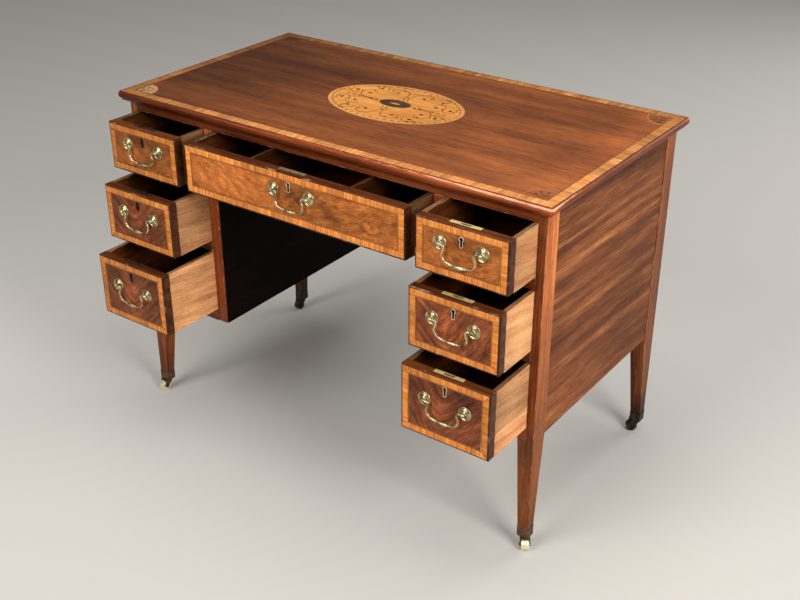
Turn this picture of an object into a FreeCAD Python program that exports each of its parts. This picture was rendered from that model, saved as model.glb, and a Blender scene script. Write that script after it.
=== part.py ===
import FreeCAD, Part
import math
import os

os.makedirs("parts", exist_ok=True)
Vector = FreeCAD.Vector

# Overall sizes of the desk, in millimetres. The origin is on the floor under the middle of the top:
# +X to the sitter's right, +Y to the back, +Z up.
top_width = 1080.0
top_depth = 572.0
desk_height = 765.0

# Table top: the board, its moulded edge, the crossbanding and the marquetry let into it
top_thickness = 22.0
top_overhang = 19.0
moulding_width = 16.0
nose_height = 15.0
nose_bulge = 4.0
quirk_drop = 0.5
fillet_step = 2.0
cove_width = 7.0
top_corner_radius = 6.0
band_width = 23.0
veneer_thickness = 1.0
oval_length = 322.0
oval_width = 216.0
fan_radius = 48.0
fan_inset = 3.0
inlay_gap = 0.05

# Carcase: legs, posts, rails and panels
stile_width = 17.5
leg_width = 36.0
leg_depth = 43.0
foot_width = 24.0
foot_depth = 22.0
post_width = 26.0
top_rail_height = 19.0
mid_rail_height = 26.0
low_rail_height = 29.0
kneehole_rail_height = 22.0
end_panel_recess = 1.5
kneehole_panel_thickness = 14.0
back_panel_thickness = 12.0
back_panel_recess = 2.0
pedestal_bottom_thickness = 8.0

# Drawer openings and what the drawers run on
pedestal_opening = 199.0
front_clearance = 1.0
top_front_height = 106.0
middle_front_height = 125.0
bottom_front_height = 144.0
runner_width = 18.0
guide_height = 20.0
stop_height = 5.0
stop_length = 30.0
stop_depth = 14.0
stop_gap = 0.3

# Drawer boxes
drawer_length = 490.0
front_thickness = 20.0
side_thickness = 9.0
side_drop = 1.0
drawer_back_thickness = 8.0
back_drop = 4.0
bottom_thickness = 6.0
bottom_rise = 8.0
bottom_groove = 4.0
partition_thickness = 8.0
partition_drop = 1.0
partition_places = (-114.0, 138.0)
dovetail_lap = 6.0
dovetail_pitch = 33.0
dovetail_tip = 0.72
dovetail_slope = 1.0 / 7.0

# How far each drawer stands open as it is shown
left_open = (82.0, 114.0, 154.0)
right_open = (94.0, 114.0, 136.0)
centre_open = 84.0

# Drawer handles: rosettes, posts with ball heads, and swan-neck bails
handle_spacing = 90.0
handle_rise = 13.0
centre_handle_shift = 6.0
rosette_diameter = 29.0
rosette_height = 4.0
rosette_profile = ((1.0, 0.25), (0.88, 0.45), (0.72, 0.36), (0.58, 0.62), (0.42, 0.72), (0.30, 1.0))
post_diameter = 5.0
post_neck_diameter = 7.0
post_standoff = 8.0
ball_diameter = 9.0
nut_across_flats = 10.0
nut_height = 3.5
post_tail = 2.5
post_hole_gap = 0.3
bail_diameter = 4.0
bail_pin_depth = 2.0
bail_pin_length = 9.0
bail_shoulder_radius = 4.0
bail_neck_radius = 20.0
bail_neck_turn = 25.0
bail_corner_radius = 14.0
bail_corner_end = 75.0
bail_knop_length = 26.0
bail_knop_diameter = 8.0

# Drawer locks: a brass case with its top plate, a bolt, and the keyhole's lining
lock_plate_length = 66.0
lock_plate_width = 10.0
lock_plate_thickness = 2.0
lock_back_length = 56.0
lock_back_thickness = 1.5
lock_case_length = 44.0
lock_case_depth = 11.5
lock_height = 42.0
bolt_length = 22.0
bolt_thickness = 6.0
bolt_height = 16.0
bolt_inset = 2.0
bolt_throw = 6.0
bolt_gap = 0.1
mortise_gap = 1.5
keyhole_drop = 23.0
keyhole_length = 13.4
keyhole_head_radius = 3.6
keyhole_slot_radius = 2.3
key_depth = 5.0
escutcheon_wall = 1.4
escutcheon_depth = 4.0
escutcheon_proud = 0.3

# Castors: square cups on the feet, swivelling horns and brass wheels
wheel_diameter = 24.0
wheel_width = 16.0
wheel_edge_radius = 1.5
wheel_side_gap = 0.4
wheel_top_gap = 1.0
axle_diameter = 5.0
axle_head_diameter = 7.2
axle_head_height = 1.2
castor_trail = 11.0
horn_crown = 3.0
horn_crown_radius = 8.0
horn_cheek = 2.0
horn_boss_radius = 4.0
cup_height = 24.0
cup_wall = 1.6
cup_floor = 2.5
cup_proud = 0.8
pintle_diameter = 6.0
pintle_head_diameter = 9.0
pintle_head_height = 1.5
pintle_head_gap = 0.8
seat_gap = 0.3
running_gap = 0.05
rivet_gap = 0.02
castor_yaw = {"front_left": -100.0, "front_right": -55.0, "rear_left": -95.0, "rear_right": -140.0}

# Planes that the pieces share
half_width = top_width / 2.0
half_depth = top_depth / 2.0
carcase_half_width = half_width - top_overhang
carcase_half_depth = half_depth - top_overhang
carcase_top = desk_height - top_thickness
opening_outer = carcase_half_width - stile_width
opening_inner = opening_outer - pedestal_opening
kneehole_half_width = opening_inner - post_width
panel_inner = kneehole_half_width + kneehole_panel_thickness
frame_front = -carcase_half_depth
frame_rear = frame_front + leg_depth
panel_rear = carcase_half_depth - leg_depth
back_outer = carcase_half_depth - back_panel_recess
back_inner = back_outer - back_panel_thickness

# Heights of the drawer openings, from the top down, as (lower edge, upper edge)
top_row_upper = carcase_top - top_rail_height
top_row_lower = top_row_upper - top_front_height - 2.0 * front_clearance
middle_row_upper = top_row_lower - mid_rail_height
middle_row_lower = middle_row_upper - middle_front_height - 2.0 * front_clearance
bottom_row_upper = middle_row_lower - mid_rail_height
bottom_row_lower = bottom_row_upper - bottom_front_height - 2.0 * front_clearance
pedestal_bottom = bottom_row_lower - low_rail_height
rows = (
    ("top", top_row_lower, top_row_upper),
    ("middle", middle_row_lower, middle_row_upper),
    ("bottom", bottom_row_lower, bottom_row_upper),
)

# Heights in the castors
horn_underside = wheel_diameter + wheel_top_gap
cup_underside = horn_underside + horn_crown
leg_end = cup_underside + cup_floor
cup_top = cup_underside + cup_height


def box(x0, x1, y0, y1, z0, z1):
    """A block between two opposite corners, whichever way round they are given."""
    corner = Vector(min(x0, x1), min(y0, y1), min(z0, z1))
    return Part.makeBox(abs(x1 - x0), abs(y1 - y0), abs(z1 - z0), corner)


def prism(points, push):
    """A flat polygon pushed along a vector."""
    return Part.Face(Part.makePolygon(points + points[:1])).extrude(push)


def cylinder(radius, length, base, axis):
    """A round bar from a base point along an axis."""
    return Part.makeCylinder(radius, length, base, axis)


def frustum(low, high, z_low, z_high):
    """A six-sided block between two rectangles, given as (x0, x1, y0, y1), at two heights."""
    def ring(rectangle, z):
        x0, x1, y0, y1 = rectangle
        return [Vector(x0, y0, z), Vector(x1, y0, z), Vector(x1, y1, z), Vector(x0, y1, z)]
    lower = ring(low, z_low)
    upper = ring(high, z_high)
    quads = [lower, upper]
    for i in range(4):
        j = (i + 1) % 4
        quads.append([lower[i], lower[j], upper[j], upper[i]])
    faces = [Part.Face(Part.makePolygon(quad + quad[:1])) for quad in quads]
    block = Part.makeSolid(Part.makeShell(faces))
    block.fix(1e-6, 1e-6, 1e-6)
    return block


def fused(shapes):
    """Several shapes joined into one solid, with the seams between flush faces removed."""
    return shapes[0].multiFuse(shapes[1:]).removeSplitter().Solids[0]


def save(name, solids):
    """One node's pieces, written as a STEP file of separate solids."""
    shape = solids[0] if len(solids) == 1 else Part.makeCompound(solids)
    shape.exportStep(os.path.join("parts", name + ".step"))


def rounded_slab(half_x, half_y, radius, z0, z1):
    """A slab with its four upright corners rounded."""
    slab = box(-half_x, half_x, -half_y, half_y, z0, z1)
    upright = [edge for edge in slab.Edges if abs(edge.tangentAt(edge.FirstParameter).z) > 0.5]
    return slab.makeFillet(radius, upright)


def mitred_strip(outer, inner, along, z0, z1):
    """A strip beside the line x = outer, as wide as outer - inner, with both ends cut at 45 degrees."""
    back = along - (outer - inner)
    corners = [(outer, -along), (outer, along), (inner, back), (inner, -back)]
    return prism([Vector(x, y, z0) for x, y in corners], Vector(0, 0, z1 - z0))


def four_sides(make):
    """Four lengths round the top: each is made against the +X side, then turned to its own side."""
    lengths = []
    for turn in range(4):
        across, along = (half_width, half_depth) if turn % 2 == 0 else (half_depth, half_width)
        piece = make(across, along)
        piece.rotate(Vector(0, 0, 0), Vector(0, 0, 1), 90.0 * turn)
        lengths.append(piece)
    return lengths


def moulding_length(across, along):
    """One length of the top's edge: a rounded nose with a quirk above it and a cove below it."""
    line = across - nose_bulge
    inside = across - moulding_width
    veneer_seat = desk_height - veneer_thickness
    nose_top = Vector(line, 0, desk_height - quirk_drop)
    nose_front = Vector(across, 0, desk_height - nose_height / 2.0)
    nose_foot = Vector(line, 0, desk_height - nose_height)
    cove_top = Vector(line - fillet_step, 0, desk_height - nose_height)
    cove_foot = Vector(line - fillet_step - cove_width, 0, carcase_top)
    cove_height = top_thickness - nose_height
    cove_middle = cove_foot + Vector(cove_width * (1.0 - math.sqrt(0.5)), 0, cove_height * math.sqrt(0.5))
    seat_inner = Vector(inside, 0, veneer_seat)
    seat_outer = Vector(line, 0, veneer_seat)
    foot = Vector(inside, 0, carcase_top)
    edges = [
        Part.LineSegment(seat_inner, seat_outer).toShape(),
        Part.LineSegment(seat_outer, nose_top).toShape(),
        Part.Arc(nose_top, nose_front, nose_foot).toShape(),
        Part.LineSegment(nose_foot, cove_top).toShape(),
        Part.Arc(cove_top, cove_middle, cove_foot).toShape(),
        Part.LineSegment(cove_foot, foot).toShape(),
        Part.LineSegment(foot, seat_inner).toShape(),
    ]
    bar = Part.Face(Part.Wire(edges)).extrude(Vector(0, 2.0 * along, 0))
    bar.translate(Vector(0, -along, 0))
    bar = bar.common(mitred_strip(across, inside, along, carcase_top, desk_height))
    rounded = rounded_slab(across, along, top_corner_radius, carcase_top, desk_height)
    return bar.common(rounded).Solids[0]


def banding_length(across, along):
    """One strip of the crossbanding round the top, in its rebate beside the nose."""
    line = across - nose_bulge
    seat = desk_height - veneer_thickness
    return mitred_strip(line, line - band_width, along - nose_bulge, seat, desk_height)


def oval_inlay(gap):
    """The oval panel of marquetry in the middle of the top, smaller than its pocket by a gap."""
    rim = Part.Ellipse(Vector(0, 0, 0), oval_length / 2.0 - gap, oval_width / 2.0 - gap).toShape()
    panel = Part.Face(Part.Wire([rim])).extrude(Vector(0, 0, veneer_thickness))
    panel.translate(Vector(0, 0, desk_height - veneer_thickness))
    return panel


def fan_inlay(sign_x, sign_y, gap):
    """A quarter-round fan in one inner corner of the crossbanding."""
    apex_x = half_width - nose_bulge - band_width - fan_inset
    apex_y = half_depth - nose_bulge - band_width - fan_inset
    seat = desk_height - veneer_thickness
    disc = cylinder(fan_radius - gap, veneer_thickness, Vector(sign_x * apex_x, sign_y * apex_y, seat),
                    Vector(0, 0, 1))
    quarter = box(sign_x * (apex_x - gap), sign_x * (apex_x - fan_radius),
                  sign_y * (apex_y - gap), sign_y * (apex_y - fan_radius), seat, desk_height)
    return disc.common(quarter).Solids[0]


def marquetry(gap):
    """The oval and the four corner fans."""
    fans = [fan_inlay(sign_x, sign_y, gap) for sign_x in (-1, 1) for sign_y in (-1, 1)]
    return [oval_inlay(gap)] + fans


def make_top():
    """The table top: board, edge moulding, crossbanding and marquetry."""
    board_x = half_width - moulding_width
    board_y = half_depth - moulding_width
    field_x = half_width - nose_bulge - band_width
    field_y = half_depth - nose_bulge - band_width
    seat = desk_height - veneer_thickness
    board = fused([
        box(-board_x, board_x, -board_y, board_y, carcase_top, seat),
        box(-field_x, field_x, -field_y, field_y, seat, desk_height),
    ])
    for pocket in marquetry(0.0):
        board = board.cut(pocket)
    save("desk_top", board.Solids)
    save("top_edge_moulding", four_sides(moulding_length))
    save("top_crossbanding", four_sides(banding_length))
    save("top_marquetry", marquetry(inlay_gap))


def make_leg(name, sign_x, sign_y):
    """A corner leg: an upright stile that tapers below the carcase, with a block glued inside it,
    both ending in a tenon for the castor's cup. Returns the cup and the middle of the foot."""
    outer_x = sign_x * carcase_half_width
    outer_y = sign_y * carcase_half_depth
    seam_x = sign_x * opening_outer
    block_x = sign_x * (carcase_half_width - leg_width)
    foot_x = sign_x * (carcase_half_width - foot_width)
    leg_y = sign_y * (carcase_half_depth - leg_depth)
    foot_y = sign_y * (carcase_half_depth - foot_depth)
    shave = cup_wall - cup_proud
    tenon_outer_x = outer_x - sign_x * shave
    tenon_inner_x = foot_x + sign_x * shave
    tenon_outer_y = outer_y - sign_y * shave
    tenon_inner_y = foot_y + sign_y * shave
    centre = Vector((outer_x + foot_x) / 2.0, (outer_y + foot_y) / 2.0, 0)
    stile = fused([
        box(seam_x, outer_x, leg_y, outer_y, pedestal_bottom, carcase_top),
        frustum((seam_x, outer_x, foot_y, outer_y), (seam_x, outer_x, leg_y, outer_y),
                cup_top, pedestal_bottom),
        box(seam_x, tenon_outer_x, tenon_inner_y, tenon_outer_y, leg_end, cup_top),
    ])
    block = fused([
        frustum((foot_x, seam_x, foot_y, outer_y), (block_x, seam_x, leg_y, outer_y),
                cup_top, pedestal_bottom),
        box(tenon_inner_x, seam_x, tenon_inner_y, tenon_outer_y, leg_end, cup_top),
    ])
    pocket_radius = pintle_head_diameter / 2.0 + pintle_head_gap
    pocket_height = pintle_head_height + seat_gap + pintle_head_gap
    pocket = cylinder(pocket_radius, pocket_height, centre + Vector(0, 0, leg_end), Vector(0, 0, 1))
    save("leg_" + name, stile.cut(pocket).Solids + block.cut(pocket).Solids)

    cup = box(outer_x + sign_x * cup_proud, foot_x - sign_x * cup_proud,
              outer_y + sign_y * cup_proud, foot_y - sign_y * cup_proud, cup_underside, cup_top)
    cup = cup.cut(box(tenon_inner_x, tenon_outer_x, tenon_inner_y, tenon_outer_y, leg_end, cup_top))
    bore = pintle_diameter / 2.0 + running_gap
    cup = cup.cut(cylinder(bore, cup_floor, centre + Vector(0, 0, cup_underside), Vector(0, 0, 1)))
    return cup.Solids[0], centre


def make_castor(name, centre):
    """A castor: a horn that swivels on its pintle under the cup, an axle, and a wheel that trails behind."""
    axle_height = wheel_diameter / 2.0
    inner = wheel_width / 2.0 + wheel_side_gap
    outer = inner + horn_cheek
    crown_back = castor_trail + horn_boss_radius
    across = Vector(0, 1, 0)
    up = Vector(0, 0, 1)
    axle_hole = axle_diameter / 2.0 + rivet_gap
    pieces = [
        cylinder(horn_crown_radius, horn_crown, up * horn_underside, up),
        box(-horn_boss_radius, crown_back, -outer, outer, horn_underside, cup_underside),
        cylinder(pintle_diameter / 2.0, cup_floor + seat_gap, up * cup_underside, up),
        cylinder(pintle_head_diameter / 2.0, pintle_head_height, up * (leg_end + seat_gap), up),
    ]
    for start in (-outer, inner):
        outline = [
            Vector(-horn_boss_radius, start, horn_underside),
            Vector(crown_back, start, horn_underside),
            Vector(crown_back, start, axle_height),
            Vector(castor_trail - horn_boss_radius, start, axle_height),
        ]
        pieces.append(prism(outline, across * horn_cheek))
        pieces.append(cylinder(horn_boss_radius, horn_cheek, Vector(castor_trail, start, axle_height), across))
    axle_start = Vector(castor_trail, -outer, axle_height)
    horn = fused(pieces).cut(cylinder(axle_hole, 2.0 * outer, axle_start, across)).Solids[0]
    axle = fused([
        cylinder(axle_diameter / 2.0, 2.0 * outer, axle_start, across),
        cylinder(axle_head_diameter / 2.0, axle_head_height, axle_start - across * axle_head_height, across),
        cylinder(axle_head_diameter / 2.0, axle_head_height, Vector(castor_trail, outer, axle_height), across),
    ])
    wheel_start = Vector(castor_trail, -wheel_width / 2.0, axle_height)
    wheel = cylinder(wheel_diameter / 2.0, wheel_width, wheel_start, across)
    rims = [edge for edge in wheel.Edges if isinstance(edge.Curve, Part.Circle)]
    wheel = wheel.makeFillet(wheel_edge_radius, rims)
    wheel = wheel.cut(cylinder(axle_diameter / 2.0 + running_gap, wheel_width, wheel_start, across)).Solids[0]
    for shape in (horn, axle, wheel):
        shape.rotate(Vector(0, 0, 0), Vector(0, 0, 1), castor_yaw[name])
        shape.translate(centre)
    save("castor_" + name + "_horn", [horn, axle])
    save("castor_" + name + "_wheel", [wheel])


def make_feet():
    """The four legs with their castors."""
    cups = []
    for depth_name, sign_y in (("front", -1), ("rear", 1)):
        for side_name, sign_x in (("left", -1), ("right", 1)):
            name = depth_name + "_" + side_name
            cup, centre = make_leg(name, sign_x, sign_y)
            cups.append(cup)
            make_castor(name, centre)
    save("castor_cups", cups)


def bolt_mortise(middle, lower):
    """The slot in the rail over a drawer that its lock's bolt shoots into when the drawer is shut."""
    bolt_front = frame_front + front_thickness - bolt_inset - bolt_thickness
    half = bolt_length / 2.0 + mortise_gap
    return box(middle - half, middle + half, bolt_front - mortise_gap,
               bolt_front + bolt_thickness + mortise_gap, lower, lower + bolt_throw + mortise_gap)


def make_carcase():
    """The frame of posts, rails and panels between the legs."""
    middle = (opening_inner + opening_outer) / 2.0
    top_rail = box(-opening_outer, opening_outer, frame_front, frame_rear, top_row_upper, carcase_top)
    for x in (-middle, 0.0, middle):
        top_rail = top_rail.cut(bolt_mortise(x, top_row_upper))
    kneehole_floor = top_row_lower - kneehole_rail_height
    rails = [
        top_rail.Solids[0],
        box(-kneehole_half_width, kneehole_half_width, frame_front, frame_rear, kneehole_floor, top_row_lower),
    ]
    posts = []
    end_panels = []
    kneehole_panels = []
    bottoms = []
    backs = [
        box(-kneehole_half_width, kneehole_half_width, back_inner, back_outer, kneehole_floor, carcase_top),
    ]
    for sign in (-1, 1):
        near = sign * opening_inner
        far = sign * opening_outer
        knee = sign * kneehole_half_width
        for upper, lower in ((top_row_lower, middle_row_upper), (middle_row_lower, bottom_row_upper)):
            rail = box(near, far, frame_front, frame_rear, lower, upper)
            rails.append(rail.cut(bolt_mortise(sign * middle, lower)).Solids[0])
        rails.append(box(near, far, frame_front, frame_rear, pedestal_bottom, bottom_row_lower))
        posts.append(box(knee, near, frame_front, frame_rear, pedestal_bottom, top_row_upper))
        end_panels.append(box(far, sign * (carcase_half_width - end_panel_recess), frame_rear, panel_rear,
                              pedestal_bottom, carcase_top))
        kneehole_panels.append(box(knee, sign * panel_inner, frame_rear, back_inner,
                                   pedestal_bottom, carcase_top))
        bottoms.append(box(sign * panel_inner, far, frame_rear, back_inner, pedestal_bottom,
                           pedestal_bottom + pedestal_bottom_thickness))
        backs.append(box(knee, far, back_inner, back_outer, pedestal_bottom, carcase_top))
    save("front_rails", rails)
    save("kneehole_posts", posts)
    save("end_panels", end_panels)
    save("kneehole_panels", kneehole_panels)
    save("pedestal_bottoms", bottoms)
    save("back_panels", backs)


def make_runners():
    """Runners under the drawer sides, guides beside them, kickers over the top row, and the stops."""
    bars = []
    stops = []
    stop_front = frame_front + front_thickness + stop_gap

    def bar(x0, x1, z0, z1):
        bars.append(box(x0, x1, frame_rear, back_inner, z0, z1))

    def stop(x, z):
        stops.append(box(x - stop_length / 2.0, x + stop_length / 2.0, stop_front, stop_front + stop_depth,
                         z, z + stop_height))

    floors = (
        (middle_row_upper, top_row_lower),
        (bottom_row_upper, middle_row_lower),
        (pedestal_bottom + pedestal_bottom_thickness, bottom_row_lower),
    )
    for sign in (-1, 1):
        guide = sign * panel_inner
        near = sign * opening_inner
        near_edge = sign * (opening_inner + runner_width)
        far = sign * opening_outer
        far_edge = sign * (opening_outer - runner_width)
        knee = sign * kneehole_half_width
        knee_edge = sign * (kneehole_half_width - runner_width)
        for lower, upper in floors:
            bar(guide, near_edge, lower, upper)
            bar(far_edge, far, lower, upper)
            bar(guide, near, upper, upper + guide_height)
            stop((near + far) / 2.0, upper)
        bar(knee_edge, knee, top_row_lower - kneehole_rail_height, top_row_lower)
        bar(guide, near_edge, top_row_upper, carcase_top)
        bar(far_edge, far, top_row_upper, carcase_top)
        bar(knee_edge, knee, top_row_upper, carcase_top)
    stop(0.0, top_row_lower)
    save("drawer_runners", bars)
    save("drawer_stops", stops)


def dovetails(x0, x1, front, low, high):
    """The tails on one drawer side's end, which fill the sockets in the drawer's front."""
    count = max(2, round((high - low) / dovetail_pitch))
    pitch = (high - low) / count
    root_y = front + front_thickness
    tip_y = front + dovetail_lap
    tip = pitch * dovetail_tip / 2.0
    root = tip - (front_thickness - dovetail_lap) * dovetail_slope
    tails = []
    for i in range(count):
        middle = low + pitch * (i + 0.5)
        outline = [
            Vector(x0, root_y, middle - root),
            Vector(x0, root_y, middle + root),
            Vector(x0, tip_y, middle + tip),
            Vector(x0, tip_y, middle - tip),
        ]
        tails.append(prism(outline, Vector(x1 - x0, 0, 0)))
    return tails


def keyhole(x, z, grow, y0, y1):
    """A keyhole-shaped bar along Y: a round head over a narrower slot with a round foot."""
    length = y1 - y0
    along = Vector(0, 1, 0)
    slot = keyhole_slot_radius + grow
    return fused([
        cylinder(keyhole_head_radius + grow, length, Vector(x, y0, z), along),
        box(x - slot, x + slot, y0, y1, z - keyhole_length, z),
        cylinder(slot, length, Vector(x, y0, z - keyhole_length), along),
    ])


def lock_body(x, front, top):
    """The lock before its bolt's slot and keyhole are cut: case, back plate and top plate."""
    rear = front + front_thickness
    plate_foot = top - lock_plate_thickness
    case_half = lock_case_length / 2.0
    back_half = lock_back_length / 2.0
    plate_half = lock_plate_length / 2.0
    foot = plate_foot - lock_height
    return fused([
        box(x - case_half, x + case_half, rear - lock_case_depth, rear, foot, plate_foot),
        box(x - back_half, x + back_half, rear - lock_back_thickness, rear, foot, plate_foot),
        box(x - plate_half, x + plate_half, rear - lock_plate_width, rear, plate_foot, top),
    ])


def lock_bolt(x, front, top, gap):
    """The lock's bolt, flush with the top plate, or its slot when a gap is given."""
    half = bolt_length / 2.0 + gap
    rear = front + front_thickness - bolt_inset
    return box(x - half, x + half, rear - bolt_thickness - gap, rear + gap, top - bolt_height - gap, top)


def rosette(x, front, z):
    """A turned back plate with a raised rim, a hollow and a raised boss, bored for the post.
    Its profile is given as shares of the rim's radius and of the height."""
    bore = post_diameter / 2.0 + running_gap
    rim = rosette_diameter / 2.0
    height = rosette_height
    outline = [(bore, 0.0), (rim, 0.0)]
    outline += [(rim * radius_share, height * height_share) for radius_share, height_share in rosette_profile]
    outline.append((bore, height))
    points = [Vector(x + r, front - out, z) for r, out in outline]
    face = Part.Face(Part.makePolygon(points + points[:1]))
    return face.revolve(Vector(x, front, z), Vector(0, 1, 0), 360.0)


def handle_post(x, front, z, inward):
    """A post through the front with a ball head, drilled from its inner side for the bail's pin."""
    back = Vector(0, 1, 0)
    length = rosette_height + front_thickness + nut_height + post_tail
    ball_middle = Vector(x, front - post_standoff, z)
    post = fused([
        cylinder(post_diameter / 2.0, length, Vector(x, front - rosette_height, z), back),
        cylinder(post_neck_diameter / 2.0, post_standoff - rosette_height, ball_middle, back),
        Part.makeSphere(ball_diameter / 2.0, ball_middle),
    ])
    reach = bail_pin_depth + seat_gap
    hole = cylinder(bail_diameter / 2.0 + running_gap, reach + ball_diameter,
                    ball_middle - Vector(inward * reach, 0, 0), Vector(inward, 0, 0))
    return post.cut(hole).Solids[0]


def handle_nut(x, front, z):
    """The square nut that draws the post up from inside the drawer."""
    half = nut_across_flats / 2.0
    start = front + front_thickness
    block = box(x - half, x + half, start, start + nut_height, z - half, z + half)
    hole = cylinder(post_diameter / 2.0 + running_gap, nut_height, Vector(x, start, z), Vector(0, 1, 0))
    return block.cut(hole).Solids[0]


def turn_point(centre, radius, degrees):
    """A point on a circle in the XZ plane."""
    angle = math.radians(degrees)
    return centre + Vector(radius * math.cos(angle), 0, radius * math.sin(angle))


def bail_half(side):
    """One half of the bail's centre line as tangent arcs in the XZ plane, from its pin to the middle
    of the grip: the pin, a shoulder, a neck that bows out, a corner and half of the curved grip."""
    pin_end = Vector(handle_spacing / 2.0 + bail_pin_depth, 0, 0)
    pin_start = Vector(handle_spacing / 2.0 - bail_pin_length, 0, 0)
    shoulder = pin_start - Vector(0, 0, bail_shoulder_radius)
    neck_top = turn_point(shoulder, bail_shoulder_radius, 180.0)
    neck = neck_top + Vector(bail_neck_radius, 0, 0)
    neck_foot = turn_point(neck, bail_neck_radius, 180.0 + bail_neck_turn)
    corner = turn_point(neck_foot, bail_corner_radius, 180.0 + bail_neck_turn)
    corner_foot = turn_point(corner, bail_corner_radius, -bail_corner_end)
    grip_radius = corner_foot.x / math.cos(math.radians(bail_corner_end))
    grip = turn_point(corner_foot, grip_radius, 180.0 - bail_corner_end)
    stations = [
        pin_end,
        pin_start,
        turn_point(shoulder, bail_shoulder_radius, 135.0),
        neck_top,
        turn_point(neck, bail_neck_radius, 180.0 + bail_neck_turn / 2.0),
        neck_foot,
        turn_point(corner, bail_corner_radius, (bail_neck_turn - bail_corner_end) / 2.0),
        corner_foot,
        turn_point(grip, grip_radius, -45.0 - bail_corner_end / 2.0),
        turn_point(grip, grip_radius, -90.0),
    ]
    stations = [Vector(side * point.x, 0, point.z) for point in stations]
    edges = [Part.LineSegment(stations[0], stations[1]).toShape()]
    for i in range(1, len(stations) - 2, 2):
        edges.append(Part.Arc(stations[i], stations[i + 1], stations[i + 2]).toShape())
    return edges, stations


def swan_neck(x, y, z):
    """The bail: a round bar along its centre line from ball to ball, with a spindle-shaped knop."""
    right, stations = bail_half(1)
    left, _ = bail_half(-1)
    path = Part.Wire(Part.__sortEdges__(right + left))
    section = Part.Wire([Part.Circle(stations[0], Vector(1, 0, 0), bail_diameter / 2.0).toShape()])
    bar = path.makePipeShell([section], True, False)
    if bar.Volume < 0:
        bar.reverse()
    middle = stations[-1]
    reach = Vector(bail_knop_length / 2.0, 0, 0)
    swell = middle + Vector(0, 0, bail_knop_diameter / 2.0)
    outline = Part.Wire([
        Part.Arc(middle - reach, swell, middle + reach).toShape(),
        Part.LineSegment(middle + reach, middle - reach).toShape(),
    ])
    knop = Part.Face(outline).revolve(middle, Vector(1, 0, 0), 360.0)
    bail = fused([bar, knop])
    bail.translate(Vector(x, y, z))
    return bail


def make_drawer(name, x0, x1, opening_lower, opening_upper, opened, partitions, handle_shift):
    """One drawer with its lock and handle, standing open by the given distance."""
    low = opening_lower + front_clearance
    high = opening_upper - front_clearance
    front = frame_front - opened
    rear = front + front_thickness
    end = front + drawer_length
    middle = (x0 + x1) / 2.0
    side_top = high - side_drop
    floor = low + bottom_rise
    floor_top = floor + bottom_thickness
    back_front = end - drawer_back_thickness
    inner_0 = x0 + side_thickness
    inner_1 = x1 - side_thickness

    bottom = box(inner_0 - bottom_groove, inner_1 + bottom_groove, rear - bottom_groove, end, floor, floor_top)
    board = box(x0, x1, front, rear, low, high)
    box_pieces = []
    for edge_0, edge_1 in ((x0, inner_0), (inner_1, x1)):
        tails = dovetails(edge_0, edge_1, front, opening_lower, side_top)
        side = fused([box(edge_0, edge_1, rear, end, opening_lower, side_top)] + tails)
        box_pieces.append(side.cut(bottom).Solids[0])
        for tail in tails:
            board = board.cut(tail)
    box_pieces.append(box(inner_0, inner_1, back_front, end, floor_top, side_top - back_drop))
    box_pieces.append(bottom)
    for place in partitions:
        x = middle + place
        box_pieces.append(box(x - partition_thickness / 2.0, x + partition_thickness / 2.0, rear, back_front,
                              floor_top, side_top - partition_drop))

    handle_x = middle + handle_shift
    handle_z = (low + high) / 2.0 + handle_rise
    key_z = high - keyhole_drop
    case_front = rear - lock_case_depth
    lock = lock_body(middle, front, high)
    lining_seat = keyhole(middle, key_z, escutcheon_wall, front, front + escutcheon_depth)
    board = board.cut(bottom).cut(lock).cut(lining_seat)
    board = board.cut(keyhole(middle, key_z, 0.0, front, case_front))
    lock = lock.cut(lock_bolt(middle, front, high, bolt_gap))
    lock = lock.cut(keyhole(middle, key_z, 0.0, case_front, case_front + key_depth))
    lining = keyhole(middle, key_z, escutcheon_wall, front - escutcheon_proud, front + escutcheon_depth)
    lining = lining.cut(keyhole(middle, key_z, 0.0, front - escutcheon_proud, front + escutcheon_depth))
    fittings = lock.Solids + lining.Solids
    for inward in (-1, 1):
        x = handle_x - inward * handle_spacing / 2.0
        fittings.append(rosette(x, front, handle_z))
        fittings.append(handle_post(x, front, handle_z, inward))
        fittings.append(handle_nut(x, front, handle_z))
        hole = post_diameter / 2.0 + post_hole_gap
        board = board.cut(cylinder(hole, front_thickness, Vector(x, front, handle_z), Vector(0, 1, 0)))
    save(name + "_front", board.Solids)
    save(name + "_box", box_pieces)
    save(name + "_fittings", fittings)
    save(name + "_bail", [swan_neck(handle_x, front - post_standoff, handle_z)])
    save(name + "_bolt", [lock_bolt(middle, front, high, 0.0)])


def make_drawers():
    """Three drawers in each pedestal and one over the kneehole."""
    near = opening_inner + front_clearance
    far = opening_outer - front_clearance
    for i, (row, lower, upper) in enumerate(rows):
        make_drawer("drawer_left_" + row, -far, -near, lower, upper, left_open[i], (), 0.0)
        make_drawer("drawer_right_" + row, near, far, lower, upper, right_open[i], (), 0.0)
    knee = kneehole_half_width - front_clearance
    make_drawer("drawer_centre", -knee, knee, top_row_lower, top_row_upper, centre_open, partition_places,
                centre_handle_shift)


make_top()
make_feet()
make_carcase()
make_runners()
make_drawers()
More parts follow.
